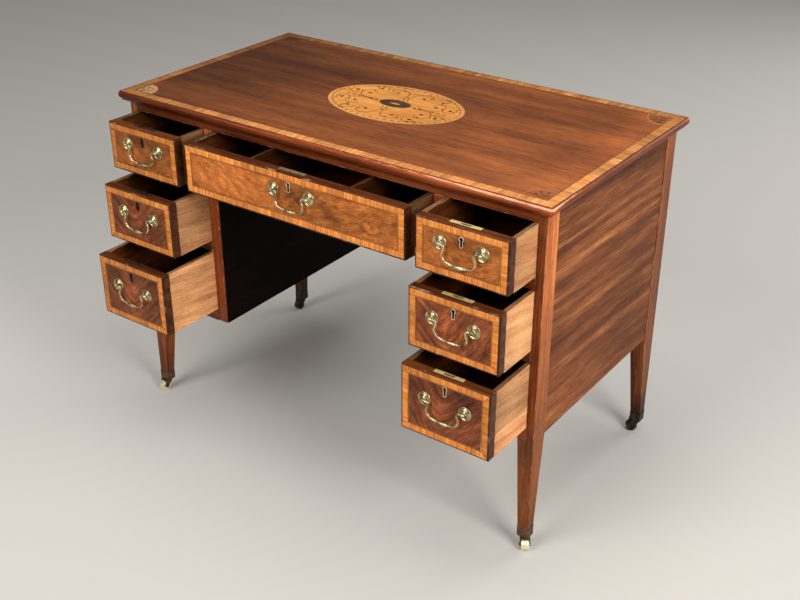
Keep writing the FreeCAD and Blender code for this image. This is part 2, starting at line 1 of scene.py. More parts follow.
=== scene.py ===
import bpy
import numpy as np
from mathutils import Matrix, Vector


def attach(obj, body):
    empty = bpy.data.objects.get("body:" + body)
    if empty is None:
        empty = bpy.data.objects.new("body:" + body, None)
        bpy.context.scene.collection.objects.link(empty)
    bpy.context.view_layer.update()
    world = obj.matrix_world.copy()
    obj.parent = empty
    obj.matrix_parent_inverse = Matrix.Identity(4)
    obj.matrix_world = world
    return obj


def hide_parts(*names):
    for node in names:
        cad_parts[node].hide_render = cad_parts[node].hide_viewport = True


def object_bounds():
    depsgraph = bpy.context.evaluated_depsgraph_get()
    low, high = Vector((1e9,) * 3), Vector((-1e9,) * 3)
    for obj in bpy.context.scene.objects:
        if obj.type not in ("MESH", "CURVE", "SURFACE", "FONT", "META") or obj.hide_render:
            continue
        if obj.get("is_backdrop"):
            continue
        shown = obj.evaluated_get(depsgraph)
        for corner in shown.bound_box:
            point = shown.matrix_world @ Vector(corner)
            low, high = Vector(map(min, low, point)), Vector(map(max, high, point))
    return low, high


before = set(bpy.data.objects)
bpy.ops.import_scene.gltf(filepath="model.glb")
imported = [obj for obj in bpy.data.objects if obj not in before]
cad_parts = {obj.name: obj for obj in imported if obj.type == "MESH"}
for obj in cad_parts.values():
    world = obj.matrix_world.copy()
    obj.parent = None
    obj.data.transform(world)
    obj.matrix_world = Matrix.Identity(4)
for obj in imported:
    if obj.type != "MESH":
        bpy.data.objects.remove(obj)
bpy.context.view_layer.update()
chance = np.random.default_rng(1905)
# Lengths are in millimetres; a shape's points and grain become metres at the end of solid().
MM = 0.001


# Table top. A mahogany board 22 mm thick, 1080 by 572 mm over its edge, faced with straight-grained
# mahogany veneer and French polished. It lies on the carcase and carries the edge moulding and the inlay.

# Half the length and half the depth over the edge.
top_u, top_v = 540, 286


def linear(colour):
    """An sRGB hex colour as linear red, green, blue and alpha."""
    s = np.array([int(colour[i:i + 2], 16) for i in (1, 3, 5)]) / 255.0
    return (*np.where(s <= 0.04045, s / 12.92, ((s + 0.055) / 1.055) ** 2.4), 1.0)


def put(tree, socket, value):
    """Gives a socket a value, or a link from another node's socket."""
    if isinstance(value, bpy.types.NodeSocket):
        tree.links.new(value, socket)
    else:
        socket.default_value = value


def add(material, kind, inputs=(), output=0, stops=(), **settings):
    """One node in a material or the world: its settings, its inputs as values or other nodes' sockets, its
    colour stops. It gives back one of the node's outputs."""
    node = material.node_tree.nodes.new("ShaderNode" + kind)
    for name, value in settings.items():
        setattr(node, name, value)
    for name, value in dict(inputs).items():
        put(material.node_tree, node.inputs[name], value)
    if stops:
        elements = node.color_ramp.elements
        for element, (place, colour) in zip((elements[0], elements[1]), (stops[0], stops[-1])):
            element.position, element.color = place, linear(colour)
        for place, colour in stops[1:-1]:
            elements.new(place).color = linear(colour)
    return node.outputs[output]


def blank(name):
    """A new material with a plain shader."""
    material = bpy.data.materials.new(name)
    material.use_nodes = True
    return material


def feed(material, **sockets):
    """Gives a material's shader its values and links; a socket's name has _ for each space."""
    shader = material.node_tree.nodes["Principled BSDF"]
    for name, value in sockets.items():
        put(material.node_tree, shader.inputs[name.replace("_", " ")], value)
    return material


def noise(material, place, scale, detail, output="Fac"):
    """Noise at a place that is multiplied by three scales, each one over a length in metres."""
    place = add(material, "VectorMath", {0: place, 1: scale}, operation="MULTIPLY")
    return add(material, "TexNoise", {"Vector": place, "Scale": 1.0, "Detail": detail}, output)


def wood(name, stops, streak, fibre, pore, worn, rough, streaks=0.5, wander=6, pitting=0.4, own_grain=True,
         **sockets):
    """A planed and finished wood. Broad streaks and fine fibres are noise drawn out along the grain, each
    (length, width); pores are the dark tops of a third noise; wide clouds, lighter and darker at random, lie
    over them; arrises go to the worn colour in patches, and a piece's tone, its own shade with any painted
    light or shade, scales the colour. The grain comes from the piece's own attribute, or runs along Y in
    Object coordinates."""
    material = blank(name)
    if own_grain:
        grain = add(material, "Attribute", output="Vector", attribute_name="grain")
    else:
        place = add(material, "TexCoord", output="Object")
        grain = add(material, "Mapping", {"Vector": place, "Rotation": (0, 0, -np.pi / 2)})

    sway = noise(material, grain, (2.5, 9.0, 9.0), 1.0, "Color")
    sway = add(material, "VectorMath", {0: sway, 1: (0.0, wander * MM, wander * MM), 2: grain},
               operation="MULTIPLY_ADD")
    noises = []
    for (length, width), detail in ((streak, 3.0), (fibre, 2.0), (pore, 0.0)):
        noises.append(noise(material, sway, (1000 / length, 1000 / width, 1000 / width), detail))
    broad, fine, pores = noises
    share = add(material, "Math", {0: fine, 1: 1.0 - streaks}, operation="MULTIPLY")
    share = add(material, "Math", {0: broad, 1: streaks, 2: share}, operation="MULTIPLY_ADD")
    colour = add(material, "ValToRGB", {"Fac": share}, stops=stops)
    pores = add(material, "MapRange", {"Value": pores, "From Min": 0.58, "From Max": 0.72})
    dark = add(material, "VectorMath", {0: colour, "Scale": 1 - pitting}, operation="SCALE")
    colour = add(material, "Mix", {0: pores, 6: colour, 7: dark}, 2, data_type="RGBA")
    cloud = noise(material, grain, (6.0, 14.0, 14.0), 2.0)
    cloud = add(material, "MapRange", {"Value": cloud, "From Min": 0.25, "From Max": 0.75,
                                       "To Min": 0.74, "To Max": 1.26})
    colour = add(material, "VectorMath", {0: colour, "Scale": cloud}, operation="SCALE")
    if own_grain:
        tone = add(material, "Attribute", output="Fac", attribute_name="tone")
        colour = add(material, "VectorMath", {0: colour, "Scale": tone}, operation="SCALE")
        edge = add(material, "Attribute", output="Fac", attribute_name="edge")
        rub = noise(material, grain, (45.0, 120.0, 120.0), 3.0)
        rub = add(material, "Math", {0: edge, 1: rub}, operation="MULTIPLY")
        rub = add(material, "MapRange", {"Value": rub, "From Min": 0.42, "From Max": 0.66, "To Max": 0.6})
        colour = add(material, "Mix", {0: rub, 6: colour, 7: linear(worn)}, 2, data_type="RGBA")
    matt = add(material, "MapRange", {"Value": fine, "To Min": rough[0], "To Max": rough[1]})
    height = add(material, "Math", {0: fine, 1: pores}, operation="SUBTRACT")
    bump = add(material, "Bump", {"Height": height, "Strength": 0.12, "Distance": 0.3 * MM})
    return feed(material, Base_Color=colour, Roughness=matt, Normal=bump, **sockets)


def apart():
    """A random shift of the grain, so that each shape has a figure of its own."""
    return chance.uniform(0, 9000, 3)


def grid_quads(rows, columns):
    """The quads of a grid of points numbered row by row."""
    corner = (np.arange(rows - 1)[:, None] * columns + np.arange(columns - 1)).ravel()
    return np.stack([corner, corner + columns, corner + columns + 1, corner + 1], axis=1)


def solid(points, quads, grain, edge=0.0, tone=1.0):
    """A closed shape: points within a thousandth of a millimetre are welded, and the quads are turned
    outwards if the volume that they enclose, the sum of the pyramids from the middle, comes out negative."""
    count = len(points)
    _, first, index = np.unique(np.round(points * 1000).astype(np.int64), axis=0,
                                return_index=True, return_inverse=True)
    points, quads = points[first], index.ravel()[quads]
    a, b, c, d = (points[quads[:, k]] - points.mean(0) for k in range(4))
    if np.einsum("ij,ij->", np.cross(a, b), c) + np.einsum("ij,ij->", np.cross(a, c), d) < 0:
        quads = quads[:, ::-1]
    return {"points": points * MM, "quads": quads, "grain": grain[first] * MM,
            "edge": np.broadcast_to(edge, count)[first], "tone": np.broadcast_to(tone, count)[first]}


def board(low, high, along, ease=0.8, wear=5, tone=1.0, tilt=0.0, cuts=(), bend=None):
    """A planed board with eased arrises. Each face of a box is a grid; the box shrunk by the easing gives
    every point its nearest core point, and the point is pulled to the easing's radius from it. The shade
    is a number or a function of the points; cuts are extra grid lines, (axis, place), to carry it."""
    low, high = np.array(low, float), np.array(high, float)
    lines = []
    for axis in range(3):
        reach = max(min(wear, 0.45 * (high - low)[axis]), 1.5 * ease)
        rim = np.array([0.0, 0.35 * ease, ease, reach])
        extra = [value for cut_axis, value in cuts if cut_axis == axis]
        lines.append(np.unique(np.concatenate([low[axis] + rim, high[axis] - rim, extra])))
    points, quads, edge, count = [], [], [], 0
    for axis in range(3):
        u, v = (axis + 1) % 3, (axis + 2) % 3
        for end in (low[axis], high[axis]):
            face = np.empty((len(lines[u]), len(lines[v]), 3))
            face[..., axis] = end
            face[..., u], face[..., v] = np.meshgrid(lines[u], lines[v], indexing="ij")
            near = np.minimum(face - low, high - face)
            edge.append(np.clip(1.0 - np.minimum(near[..., u], near[..., v]) / wear, 0, 1).ravel())
            grid = grid_quads(*face.shape[:2])
            quads.append(count + (grid if end == high[axis] else grid[:, ::-1]))
            points.append(face.reshape(-1, 3))
            count += len(points[-1])
    points = np.concatenate(points)
    core = np.clip(points, low + ease, high - ease)
    out = points - core
    points = core + ease * out / np.linalg.norm(out, axis=1)[:, None]
    grain = np.roll(points, -along, axis=1) + apart()
    grain[:, 1] += tilt * grain[:, 0]
    shade = tone(points) if callable(tone) else tone
    if bend:
        points = bend(points)
    return solid(points, np.concatenate(quads), grain, np.concatenate(edge), shade)


def piece(name, shapes, material, body, slot, *nodes):
    """One object made of several shapes. Its normals are the quads' own, averaged by area at each point,
    so that broad flats stay flat beside narrow rounded arrises."""
    starts = np.cumsum([0] + [len(shape["points"]) for shape in shapes])
    points = np.concatenate([shape["points"] for shape in shapes])
    quads = np.concatenate([shape["quads"] + start for shape, start in zip(shapes, starts)])
    mesh = bpy.data.meshes.new(name)
    faces = [list(dict.fromkeys(quad)) for quad in quads.tolist()]
    mesh.from_pydata(points.tolist(), [], [face for face in faces if len(face) > 2])
    for key, kind, part in (("grain", "FLOAT_VECTOR", "vector"), ("edge", "FLOAT", "value"),
                            ("tone", "FLOAT", "value")):
        values = np.concatenate([shape[key] for shape in shapes]).astype(np.float32)
        mesh.attributes.new(key, kind, "POINT").data.foreach_set(part, values.ravel())
    a, b, c, d = (points[quads[:, k]] for k in range(4))
    area = np.cross(c - a, d - b)
    normals = np.zeros_like(points)
    for k in range(4):
        np.add.at(normals, quads[:, k], area)
    normals /= np.maximum(np.linalg.norm(normals, axis=1), 1e-15)[:, None]
    mesh.shade_smooth()
    mesh.normals_split_custom_set_from_vertices(normals.tolist())
    mesh.materials.append(material)
    made = bpy.data.objects.new(name, mesh)
    bpy.context.scene.collection.objects.link(made)
    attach(made, body)
    if nodes:
        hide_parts(*nodes)


def faded_and_lit(points, deepest=0.17, across=0.55, forward=0.26):
    """Shade by place on the top, partly sun-fading and partly painted light: from the deepest at the back on
    the left it grows by a share across, less as it goes, and by a share towards the front."""
    right = np.clip((points[:, 0] + top_u) / (2 * top_u), 0, 1)
    front = np.clip((top_v - points[:, 1]) / (2 * top_v), 0, 1)
    return deepest + across * (1 - (1 - right) ** 2) + forward * front


def sunned_and_lit(points):
    """The field's shade, partly fading and partly painted light and reflection: deeper in a soft hollow left
    of the oval, lighter in a soft patch right of it and where it nears the banding, rising in a straight ramp
    to the right, the front and, most on the left, the back."""
    x, y = points[:, 0], points[:, 1]
    hollow = 0.19 * np.exp(-((x + 300) / 150) ** 2 - (y / 120) ** 2)
    patch = 0.24 * np.exp(-((x - 270) / 160) ** 2 - ((y + 20) / 100) ** 2)
    right = np.clip((x - 420) / 70, 0, 1)
    front = np.clip((-210 - y) / 30, 0, 1)
    rear = np.clip((y - 170) / 50, 0, 1)
    left = (top_u - x) / (2 * top_u)
    return faded_and_lit(points) - hollow + patch + 0.42 * right + 0.15 * front + 0.28 * rear * left


# Straight-grained mahogany under French polish: long red-brown streaks, dark pores, a soft sheen.
# The pores are drawn about 1.4 mm wide, coarser than real ones, so that they show.
top_mahogany = wood(
    "mahogany_top_french_polish",
    ((0.28, "#5b2f18"), (0.44, "#814523"), (0.55, "#945228"), (0.74, "#af6632")),
    streak=(800, 36), fibre=(110, 2.3), pore=(20, 1.4), worn="#c08350", rough=(0.34, 0.46),
    wander=9, Coat_Weight=0.12, Coat_Roughness=0.2, Specular_IOR_Level=0.35)
# Extra grid lines that carry the top's shade, partly fading and partly painted light.
top_shade_lines = [(0, x) for x in (*range(-450, 400, 75), 420, 490)]
top_shade_lines += [(1, y) for y in (-240, -210, -140, -70, 0, 70, 130, 170, 220)]
piece("top_board", [board((-524, -270, 743), (524, 270, 764.8), 0, tone=sunned_and_lit, cuts=top_shade_lines)],
      top_mahogany, "desk", "mahogany_top", "desk_top")


# Edge of the top. Four lengths of solid mahogany moulding, 16 mm wide and 22 mm deep, mitred at the
# corners and glued round the board: a rounded nose, a small fillet, and a cove underneath it.

def lofted(rings, grain, edge=0.0, tone=1.0):
    """A closed skin over cross-sections, given as an array of rings of points. Each end is closed by a fan
    to its ring's middle."""
    edge, tone = (np.broadcast_to(value, rings.shape[:2])[..., None] for value in (edge, tone))
    skins = []
    for values in (rings, grain, edge, tone):
        first, last = (np.broadcast_to(values[k].mean(0), values[:1].shape) for k in (0, -1))
        skin = np.concatenate([first, values, last])
        skins.append(np.concatenate([skin, skin[:, :1]], axis=1).reshape(-1, values.shape[2]))
    points, grain, edge, tone = skins
    quads = grid_quads(len(rings) + 2, rings.shape[1] + 1)
    return solid(points, quads, grain, edge.ravel(), tone.ravel())


def edge_profile():
    """The moulding's outline as (distance in from the outermost line, height): up the back, along the
    veneer's seat, round the nose as part of an oval, in over the fillet, and down a quarter-round cove."""
    half_turn = np.radians(61.9)
    turn = np.linspace(half_turn, -half_turn, 19)
    nose = np.stack([4.0 * (1 - np.cos(turn)) / (1 - np.cos(half_turn)),
                     757.25 + 7.25 * np.sin(turn) / np.sin(half_turn)], 1)
    sweep = np.radians(np.linspace(0, 90, 9))
    cove = np.stack([13.0 - 7.0 * np.cos(sweep), 750.0 - 7.0 * np.sin(sweep)], 1)
    back = np.array([[16.0, 743.0], [16.0, 764.0], [4.0, 764.0]])
    return np.concatenate([back, nose, [[4.2, 750.0]], cove])


def moulding_length(profile, across, along, corner=7, steps=7):
    """One side's moulding, carried along the +X side and ending half way round each corner. Within the
    corner's radius an outline point goes round an arc; further in, both sides meet in a sharp mitre."""
    depth = profile[:, 0]
    radius = np.maximum(corner - depth, 0)
    pivot = np.maximum(corner, depth)
    turn = np.radians(np.linspace(-45, 0, steps))
    turn = np.concatenate([turn, np.zeros(21), -turn[::-1]])[:, None]
    middle = np.concatenate([-np.ones(steps), np.linspace(-1, 1, 21), np.ones(steps)])[:, None]
    x = across - pivot + radius * np.cos(turn)
    y = middle * (along - pivot) + radius * np.sin(turn)
    rings = np.stack([x, y, np.broadcast_to(profile[:, 1], x.shape)], axis=2)
    return rings, np.stack([y, x, rings[..., 2]], axis=2) + apart()


def worn_and_lit_edge(rings, profile):
    """Wear, painted highlight and painted shade of the moulding: the crest of the nose is rubbed and light,
    partly wear and partly a painted highlight, most near the front right corner, where both fall off with the
    distance;
    the upper rounding is painted lighter than the fillet and cove, as lit from above; the left is painted
    dim, and so is the right-hand end."""
    x, y = rings[..., 0], rings[..., 1]
    near = np.exp(-(np.hypot(x - top_u, 4 * (y + top_v)) / 280) ** 2)
    crest = np.exp(-((profile[:, 0] - 3.2 + 1.9 * near) / 1.1) ** 2) * (profile[:, 1] > 758)
    shade = np.interp(profile[:, 1], [743, 750, 755, 763], [0.95, 0.95, 1.0, 1.35])
    dim = np.interp(x, [-top_u, -100, 300, top_u], [0.38, 0.7, 1.0, 0.85])
    end = np.where((x > 520) & (np.abs(y) < 275), 0.72, 1.0)
    return crest * (0.7 + 1.6 * near), dim * shade * (1 + 0.7 * near) * end


# Solid mahogany, French polished and worn along its arrises, so that pale patches show on the corners.
polished = dict(streak=(500, 20), fibre=(120, 2.6), pore=(18, 1.3), worn="#e0c3a0", rough=(0.32, 0.44),
                Coat_Weight=0.05, Coat_Roughness=0.16, Specular_IOR_Level=0.12)
mahogany = wood("mahogany_french_polish",
                ((0.28, "#4a1e0f"), (0.45, "#743a1b"), (0.56, "#904e24"), (0.76, "#ae692e")), **polished)
# The same wood made redder, as it looks in shade: on the top's edge and the front frame, which lie mostly in
# shade.
shade_red_mahogany = wood("mahogany_reddened_as_in_shade",
                    ((0.28, "#4a1a0e"), (0.45, "#74331a"), (0.56, "#904622"), (0.76, "#ae5f2c")), **polished)
lengths = []
profile = edge_profile()
for c, s in ((1, 0), (0, 1), (-1, 0), (0, -1)):
    rings, grain = moulding_length(profile, *((top_u, top_v) if c else (top_v, top_u)))
    rings = rings @ np.array([[c, s, 0], [-s, c, 0], [0, 0, 1]])
    lengths.append(lofted(rings, grain, *worn_and_lit_edge(rings, profile)))
piece("top_edge", lengths, shade_red_mahogany, "desk", "mahogany", "top_edge_moulding")


# Crossbanding of the top. Leaves of satinwood veneer 22 mm wide, laid with the grain across the band
# and butted end to end, mitred at the corners, between thin lines of black stringing.

def sheet(grid, push, grain, tone=1.0, ring=False):
    """A veneer: a grid of points on its face, the same grid pushed back by its thickness, and walls round
    the border. A ring's last column meets its first, so it has walls on its two rims only."""
    rows, columns = grid.shape[:2]
    count = rows * columns
    number = np.arange(count).reshape(rows, columns)
    face = grid_quads(rows, columns)
    back = face[:, ::-1] + count
    rims = [number[0], number[-1, ::-1]] if ring else [
        np.concatenate([number[0, :-1], number[:-1, -1], number[-1, :0:-1], number[::-1, 0]])]
    walls = [np.stack([rim[:-1], rim[1:], rim[1:] + count, rim[:-1] + count], 1) for rim in rims]
    points = np.concatenate([grid.reshape(-1, 3), grid.reshape(-1, 3) + push])
    grain = np.tile(grain.reshape(-1, 3), (2, 1))
    return solid(points, np.concatenate([face, back] + walls), grain, tone=tone)


def sides(half_u, half_v):
    """The four sides of a rectangle: half its length, its distance from the middle, the sign of that, and a
    function that puts places along it and out from the middle in the order (u, v)."""
    for sign in (1, -1):
        yield half_u, half_v, sign, lambda run, rise: (run, rise)
        yield half_v, half_u, sign, lambda run, rise: (rise, run)


def banding(plane, half_u, half_v, width, length, push, shade, spread):
    """Four mitred strips inside a rectangle, cut into leaves. In a leaf, the grain runs across the strip.
    The plane turns (u, v) into a point; each leaf has its own figure and its own shade."""
    leaves = []
    for reach, out, sign, order in sides(half_u, half_v):
        count = max(1, round(2 * reach / length))
        inner = np.linspace(width - reach, reach - width, count + 1)
        inner[1:-1] += chance.uniform(-0.25, 0.25, count - 1) * length
        outer = np.concatenate([[-reach], inner[1:-1], [reach]])
        for k in range(count):
            run = np.array([outer[k:k + 2], inner[k:k + 2]])
            rise = sign * np.array([[out, out], [out - width, out - width]])
            grid = plane(*order(run, rise))
            grain = np.stack([rise, run, 0 * run], axis=2) + apart()
            own = shade(grid.mean((0, 1))[None])[0] if callable(shade) else shade
            leaves.append(sheet(grid, push, grain, tone=own * chance.uniform(1 - spread, 1 + spread)))
    return leaves


def string_frame(plane, half_u, half_v, width, push, tone):
    """A line of stringing round the inside of a rectangle: four strips with mitred ends."""
    strips = []
    for reach, out, sign, order in sides(half_u, half_v):
        run = np.array([[-reach, reach], [width - reach, reach - width]])
        rise = sign * np.array([[out, out], [out - width, out - width]])
        grain = np.stack([run, rise, 0 * run], axis=2) + apart()
        strips.append(sheet(plane(*order(run, rise)), push, grain, tone=tone))
    return strips


def level(height):
    """The plane of the table top at a height: u is X and v is Y."""
    return lambda u, v: np.stack([u, v, np.full(np.shape(u), height)], axis=-1)


def inside_top(inset):
    """Half the sides of a rectangle that lies inside the top's outline by an inset."""
    return top_u - inset, top_v - inset


# Heights of the inlays, each a hair over the one before, so that one laid over another shows clean.
ground_z, band_z, patera_z, line_z, husk_z, stem_z = 764.93, 764.95, 764.97, 764.98, 764.99, 765.0
veneer = 0.9
down = np.array([0, 0, -veneer])
# Satinwood veneer, polished: golden orange with short lines across the band and a silky, uneven glow.
silky = dict(streak=(50, 7), fibre=(40, 2.4), pore=(9, 1.3), worn="#ecbb7c", rough=(0.32, 0.44), streaks=0.55,
             wander=3, pitting=0.25, Coat_Weight=0.04, Coat_Roughness=0.18, Specular_IOR_Level=0.14)
satinwood = wood("satinwood_crossbanding",
                 ((0.28, "#a04d1c"), (0.45, "#ca732f"), (0.56, "#de8b40"), (0.76, "#f8b868")), **silky)
# The same wood on the top, faded by the light: less red and more like straw.
faded_satinwood = wood("satinwood_faded",
                       ((0.28, "#9c5428"), (0.45, "#c67c42"), (0.56, "#da9252"), (0.76, "#f2bc78")), **silky)
# Boxwood and dyed stringing: one plain close-grained line, pale or near black as its shade says.
stringing = wood(
    "stringing_box_and_ebony",
    ((0.30, "#c48a58"), (0.55, "#d8a674"), (0.75, "#eac294")),
    streak=(80, 4), fibre=(30, 1.2), pore=(9, 1.0), worn="#d8a674", rough=(0.30, 0.40),
    wander=1, Coat_Weight=0.04, Coat_Roughness=0.2, Specular_IOR_Level=0.15)
ebony, boxwood = 0.05, 0.74
# The banding takes the top's shade by place too, partly fading and partly painted light: lighter to the right
# and the front.
piece("top_banding", banding(level(band_z), *inside_top(5.4), 21.6, 30, down,
                             lambda points: faded_and_lit(points, 0.28, 0.42, 0.33), 0.16),
      faded_satinwood, "desk", "satinwood", "top_crossbanding")
lines = string_frame(level(line_z), *inside_top(4), 1.4, down, ebony)
lines += string_frame(level(line_z), *inside_top(27), 1.1, down, ebony)


# Marquetry of the top. An oval of satinwood 322 by 216 mm and four quarter-round corner panels, edged with
# box lines and let into the top; stems, leaves and a fluted patera are cut from darker dyed woods.

oval_u, oval_v = 161, 108
patera_u, patera_v = 38.5, 21
fan_radius = 48


def oval_ring(inner, outer, count=144):
    """A band round the oval between two distances in from its rim, each measured square to the rim."""
    turn = np.linspace(0, 2 * np.pi, count + 1)
    rim = np.stack([oval_u * np.cos(turn), oval_v * np.sin(turn)], 1)
    normal = np.stack([np.cos(turn) / oval_u, np.sin(turn) / oval_v], 1)
    normal /= np.linalg.norm(normal, axis=1)[:, None]
    return np.stack([rim - outer * normal, rim - inner * normal])


def flat(grid, height, tone=1.0, ring=False):
    """A flat inlay from a grid of (x, y) points, with its grain along X."""
    face = level(height)(grid[..., 0], grid[..., 1])
    return sheet(face, down, face + apart(), tone=tone, ring=ring)


def filled(outline):
    """Rows of points that grow from the middle to an outline."""
    return np.linspace(0, 1, 9)[:, None, None] * outline


def ribbon(line, width):
    """A stem: points each side of a line, half its width away, square to it."""
    along = np.gradient(line, axis=0)
    along /= np.linalg.norm(along, axis=1)[:, None]
    side = np.stack([-along[:, 1], along[:, 0]], 1) * np.asarray(width).reshape(-1, 1) / 2
    return np.stack([line - side, line + side])


def leaf(base, tip, width, curl=0.0, steps=7):
    """A leaf: a curved middle line from base to tip with a half-width of sine to the power 0.8."""
    base, tip = np.array(base, float), np.array(tip, float)
    t = np.linspace(0, 1, steps)[:, None]
    square = np.array([-(tip - base)[1], (tip - base)[0]])
    line = base + t * (tip - base) + curl * np.sin(np.pi * t) * square
    half = width / 2 * np.sin(np.pi * np.clip(t, 1e-9, 1 - 1e-9)) ** 0.8
    square = square / np.linalg.norm(square)
    return np.stack([line - half * square, line + half * square])


def scroll(centre, start_radius, end_radius, start, turns, count=40):
    """A spiral whose radius shrinks evenly in proportion from start to end."""
    t = np.linspace(0, 1, count)
    radius = start_radius * (end_radius / start_radius) ** t
    angle = np.radians(start) + 2 * np.pi * turns * t
    return np.array(centre) + np.stack([radius * np.cos(angle), radius * np.sin(angle)], 1)


ground = flat(filled(oval_ring(2.6, 2.6)[:1]), ground_z, ring=True)
lines.append(flat(oval_ring(0.0, 0.9), line_z, 0.25, ring=True))
lines.append(flat(oval_ring(0.9, 3.0), line_z, boxwood, ring=True))

# Border of the oval: 56 small crescents, horns outwards, each over three quarters of its share of the rim.
motifs = []
crescents = 56
border = oval_ring(8, 8, crescents * 4)[0]
for k in range(crescents):
    crescent = leaf(border[4 * k], border[4 * k + 3], 3.2, 0.24)
    motifs.append(flat(crescent, line_z, chance.uniform(0.25, 0.4)))

# Scrolling stems that end in buds, drawn for one quarter of the oval and mirrored into the others. The stems
# are drawn 1 to 1.7 mm wide, coarser than a saw cut, so that they show.
stems = [
    scroll((84, 34), 41, 6, 219, 1.1),
    scroll((40, 62), 46, 5, 236, -1.0),
    scroll((124, 30), 22, 4, 207, 0.95),
    scroll((84, 66), 22, 4, 195, -0.8),
]
dark_leaf, brown_leaf, pale_leaf = 0.14, 0.3, 0.45
for mirror in ((1, 1), (-1, 1), (-1, -1), (1, -1)):
    for stem in stems:
        line = stem * mirror
        motifs.append(flat(ribbon(line, np.linspace(1.7, 1.0, len(line))), stem_z, brown_leaf))
        reach = line[-1] - line[-6]
        reach = reach / np.linalg.norm(reach) * 9
        motifs.append(flat(leaf(line[-1] - 0.3 * reach, line[-1] + reach, 6.5, 0.12), stem_z, dark_leaf))
        for k, turn in ((12, 1), (21, -1)):
            ahead = line[k + 2] - line[k]
            ahead = ahead / np.linalg.norm(ahead) * 10
            side = turn * np.array([-ahead[1], ahead[0]])
            tip = line[k] + 0.8 * ahead + 0.6 * side
            motifs.append(flat(leaf(line[k], tip, 3.6, 0.2 * turn), stem_z, pale_leaf))

# Chains of six husks that shrink outwards along the oval's length, and of two across it.
for sign in (-1, 1):
    for k in range(6):
        near = 43 + 15 * k
        motifs.append(flat(leaf((sign * near, 0), (sign * (near + 12), 0), 6 - 0.6 * k), husk_z, brown_leaf))
    for k in range(2):
        near = 26 + 14 * k
        motifs.append(flat(leaf((0, sign * near), (0, sign * (near + 11)), 5 - k), husk_z, brown_leaf))

# Patera in the middle of the oval: a dark fluted oval with a box rim and a box centre.
turn = np.linspace(0, 2 * np.pi, 97)
patera = np.stack([patera_u * np.cos(turn), patera_v * np.sin(turn)], 1)
motifs.append(flat(filled(patera), patera_z, 0.42, ring=True))
lines.append(flat(np.stack([patera, patera * (1.04, 1.07)]), husk_z, 0.7, ring=True))
for turn in np.arange(20) * np.pi / 10:
    spoke = np.array([patera_u * np.cos(turn), patera_v * np.sin(turn)])
    motifs.append(flat(leaf(0.4 * spoke, 0.94 * spoke, 3.4), husk_z, 0.2))
lines.append(flat(filled(patera * (0.3, 0.2)), stem_z, boxwood, ring=True))

# Corner panels: a quarter round with a fine line round it and a sprig of dark leaves. The one at the front on
# the left is box; the others have darkened to the colour of the top, and their shades follow the top's shade
# by place, painted light included.
fans = []
for sign, panels, shade, rim_shade in (((-1, -1), lines, 0.74, 0.15), ((1, -1), fans, 1.12, 0.6),
                                       ((1, 1), fans, 1.06, 0.85), ((-1, 1), fans, 0.3, 0.2)):
    apex = np.array(sign) * (510, 256)
    quarter = np.radians(np.linspace(0, 90, 19))
    arc = -np.stack([np.cos(quarter), np.sin(quarter)], 1) * sign
    panels.append(flat(apex + filled((fan_radius - 1) * arc), ground_z, shade))
    rim = np.stack([apex + (fan_radius - 1.5) * arc, apex + fan_radius * arc])
    lines.append(flat(rim, line_z, rim_shade))
    for k in (0, -1):
        side = ribbon(np.stack([apex, apex + fan_radius * arc[k]]), 0.9)
        lines.append(flat(side, husk_z, 0.6 * rim_shade))
    for angle, reach in ((22, 33), (45, 38), (68, 33)):
        out = -np.array([np.cos(np.radians(angle)), np.sin(np.radians(angle))]) * sign
        square = np.array([-out[1], out[0]])
        stem = np.stack([apex + 7 * out, apex + reach * out])
        motifs.append(flat(ribbon(stem, 0.9), line_z, 0.45 * shade))
        bud = leaf(apex + (reach - 9) * out, apex + (reach + 3) * out, 4.6)
        motifs.append(flat(bud, stem_z, dark_leaf if panels is lines else 0.34 * shade))
        for turn, back in ((1, 17), (-1, 22)):
            base = apex + (reach - back) * out
            motifs.append(flat(leaf(base, base + 6 * out + turn * 5 * square, 3.0), stem_z, 0.5 * shade))

# Satinwood ground, golden orange and close grained, with a faint mottle under the polish.
oval_satinwood = wood(
    "satinwood_marquetry_ground",
    ((0.28, "#ba6c2e"), (0.45, "#d3873e"), (0.58, "#e0994b"), (0.76, "#edb266")),
    streak=(100, 14), fibre=(50, 2.0), pore=(9, 1.2), worn="#e7b477", rough=(0.30, 0.42),
    wander=4, pitting=0.2, Coat_Weight=0.12, Coat_Roughness=0.18, Specular_IOR_Level=0.35)
# Dyed and scorched veneers of the stems and leaves: brown to near black as each one's shade says.
dyed = wood(
    "dyed_marquetry_veneers",
    ((0.30, "#6a4022"), (0.50, "#8a5a30"), (0.75, "#a87744")),
    streak=(50, 5), fibre=(30, 1.4), pore=(9, 1.0), worn="#a87744", rough=(0.34, 0.46),
    wander=2, Coat_Weight=0.2, Coat_Roughness=0.18, Specular_IOR_Level=0.4)
piece("marquetry_ground", [ground], oval_satinwood, "desk", "marquetry", "top_marquetry")
piece("marquetry_fans", fans, top_mahogany, "desk", "marquetry")
piece("marquetry_motifs", motifs, dyed, "desk", "marquetry")
lines += string_frame(level(line_z), *inside_top(4.8), 1.0, down, ebony)
piece("top_stringing", lines, stringing, "desk", "marquetry")


# Legs. Four square corner legs of solid mahogany that reach up to 743 mm, with the carcase between them. Each
# is a stile with a block glued to its inner side below the drawers; together they taper from 36 by 43 mm to
# 24 by 22 mm.

leg_foot, taper_top, carcase_top = 50, 262, 743
leg_depth, foot_depth = 43, 22
block_width, block_foot = 18.5, 6.5
leg_x, leg_y, seam_x = 521, 267, 503.5


def side_board(sign, x, y, z, along, *sizes, middle=0, **settings):
    """A board on the left or the right, from its distances from the middle and its bounds in Y and Z."""
    near, far = sorted(middle + sign * value for value in x)
    return board((near, y[0], z[0]), (far, y[1], z[1]), along, *sizes, **settings)


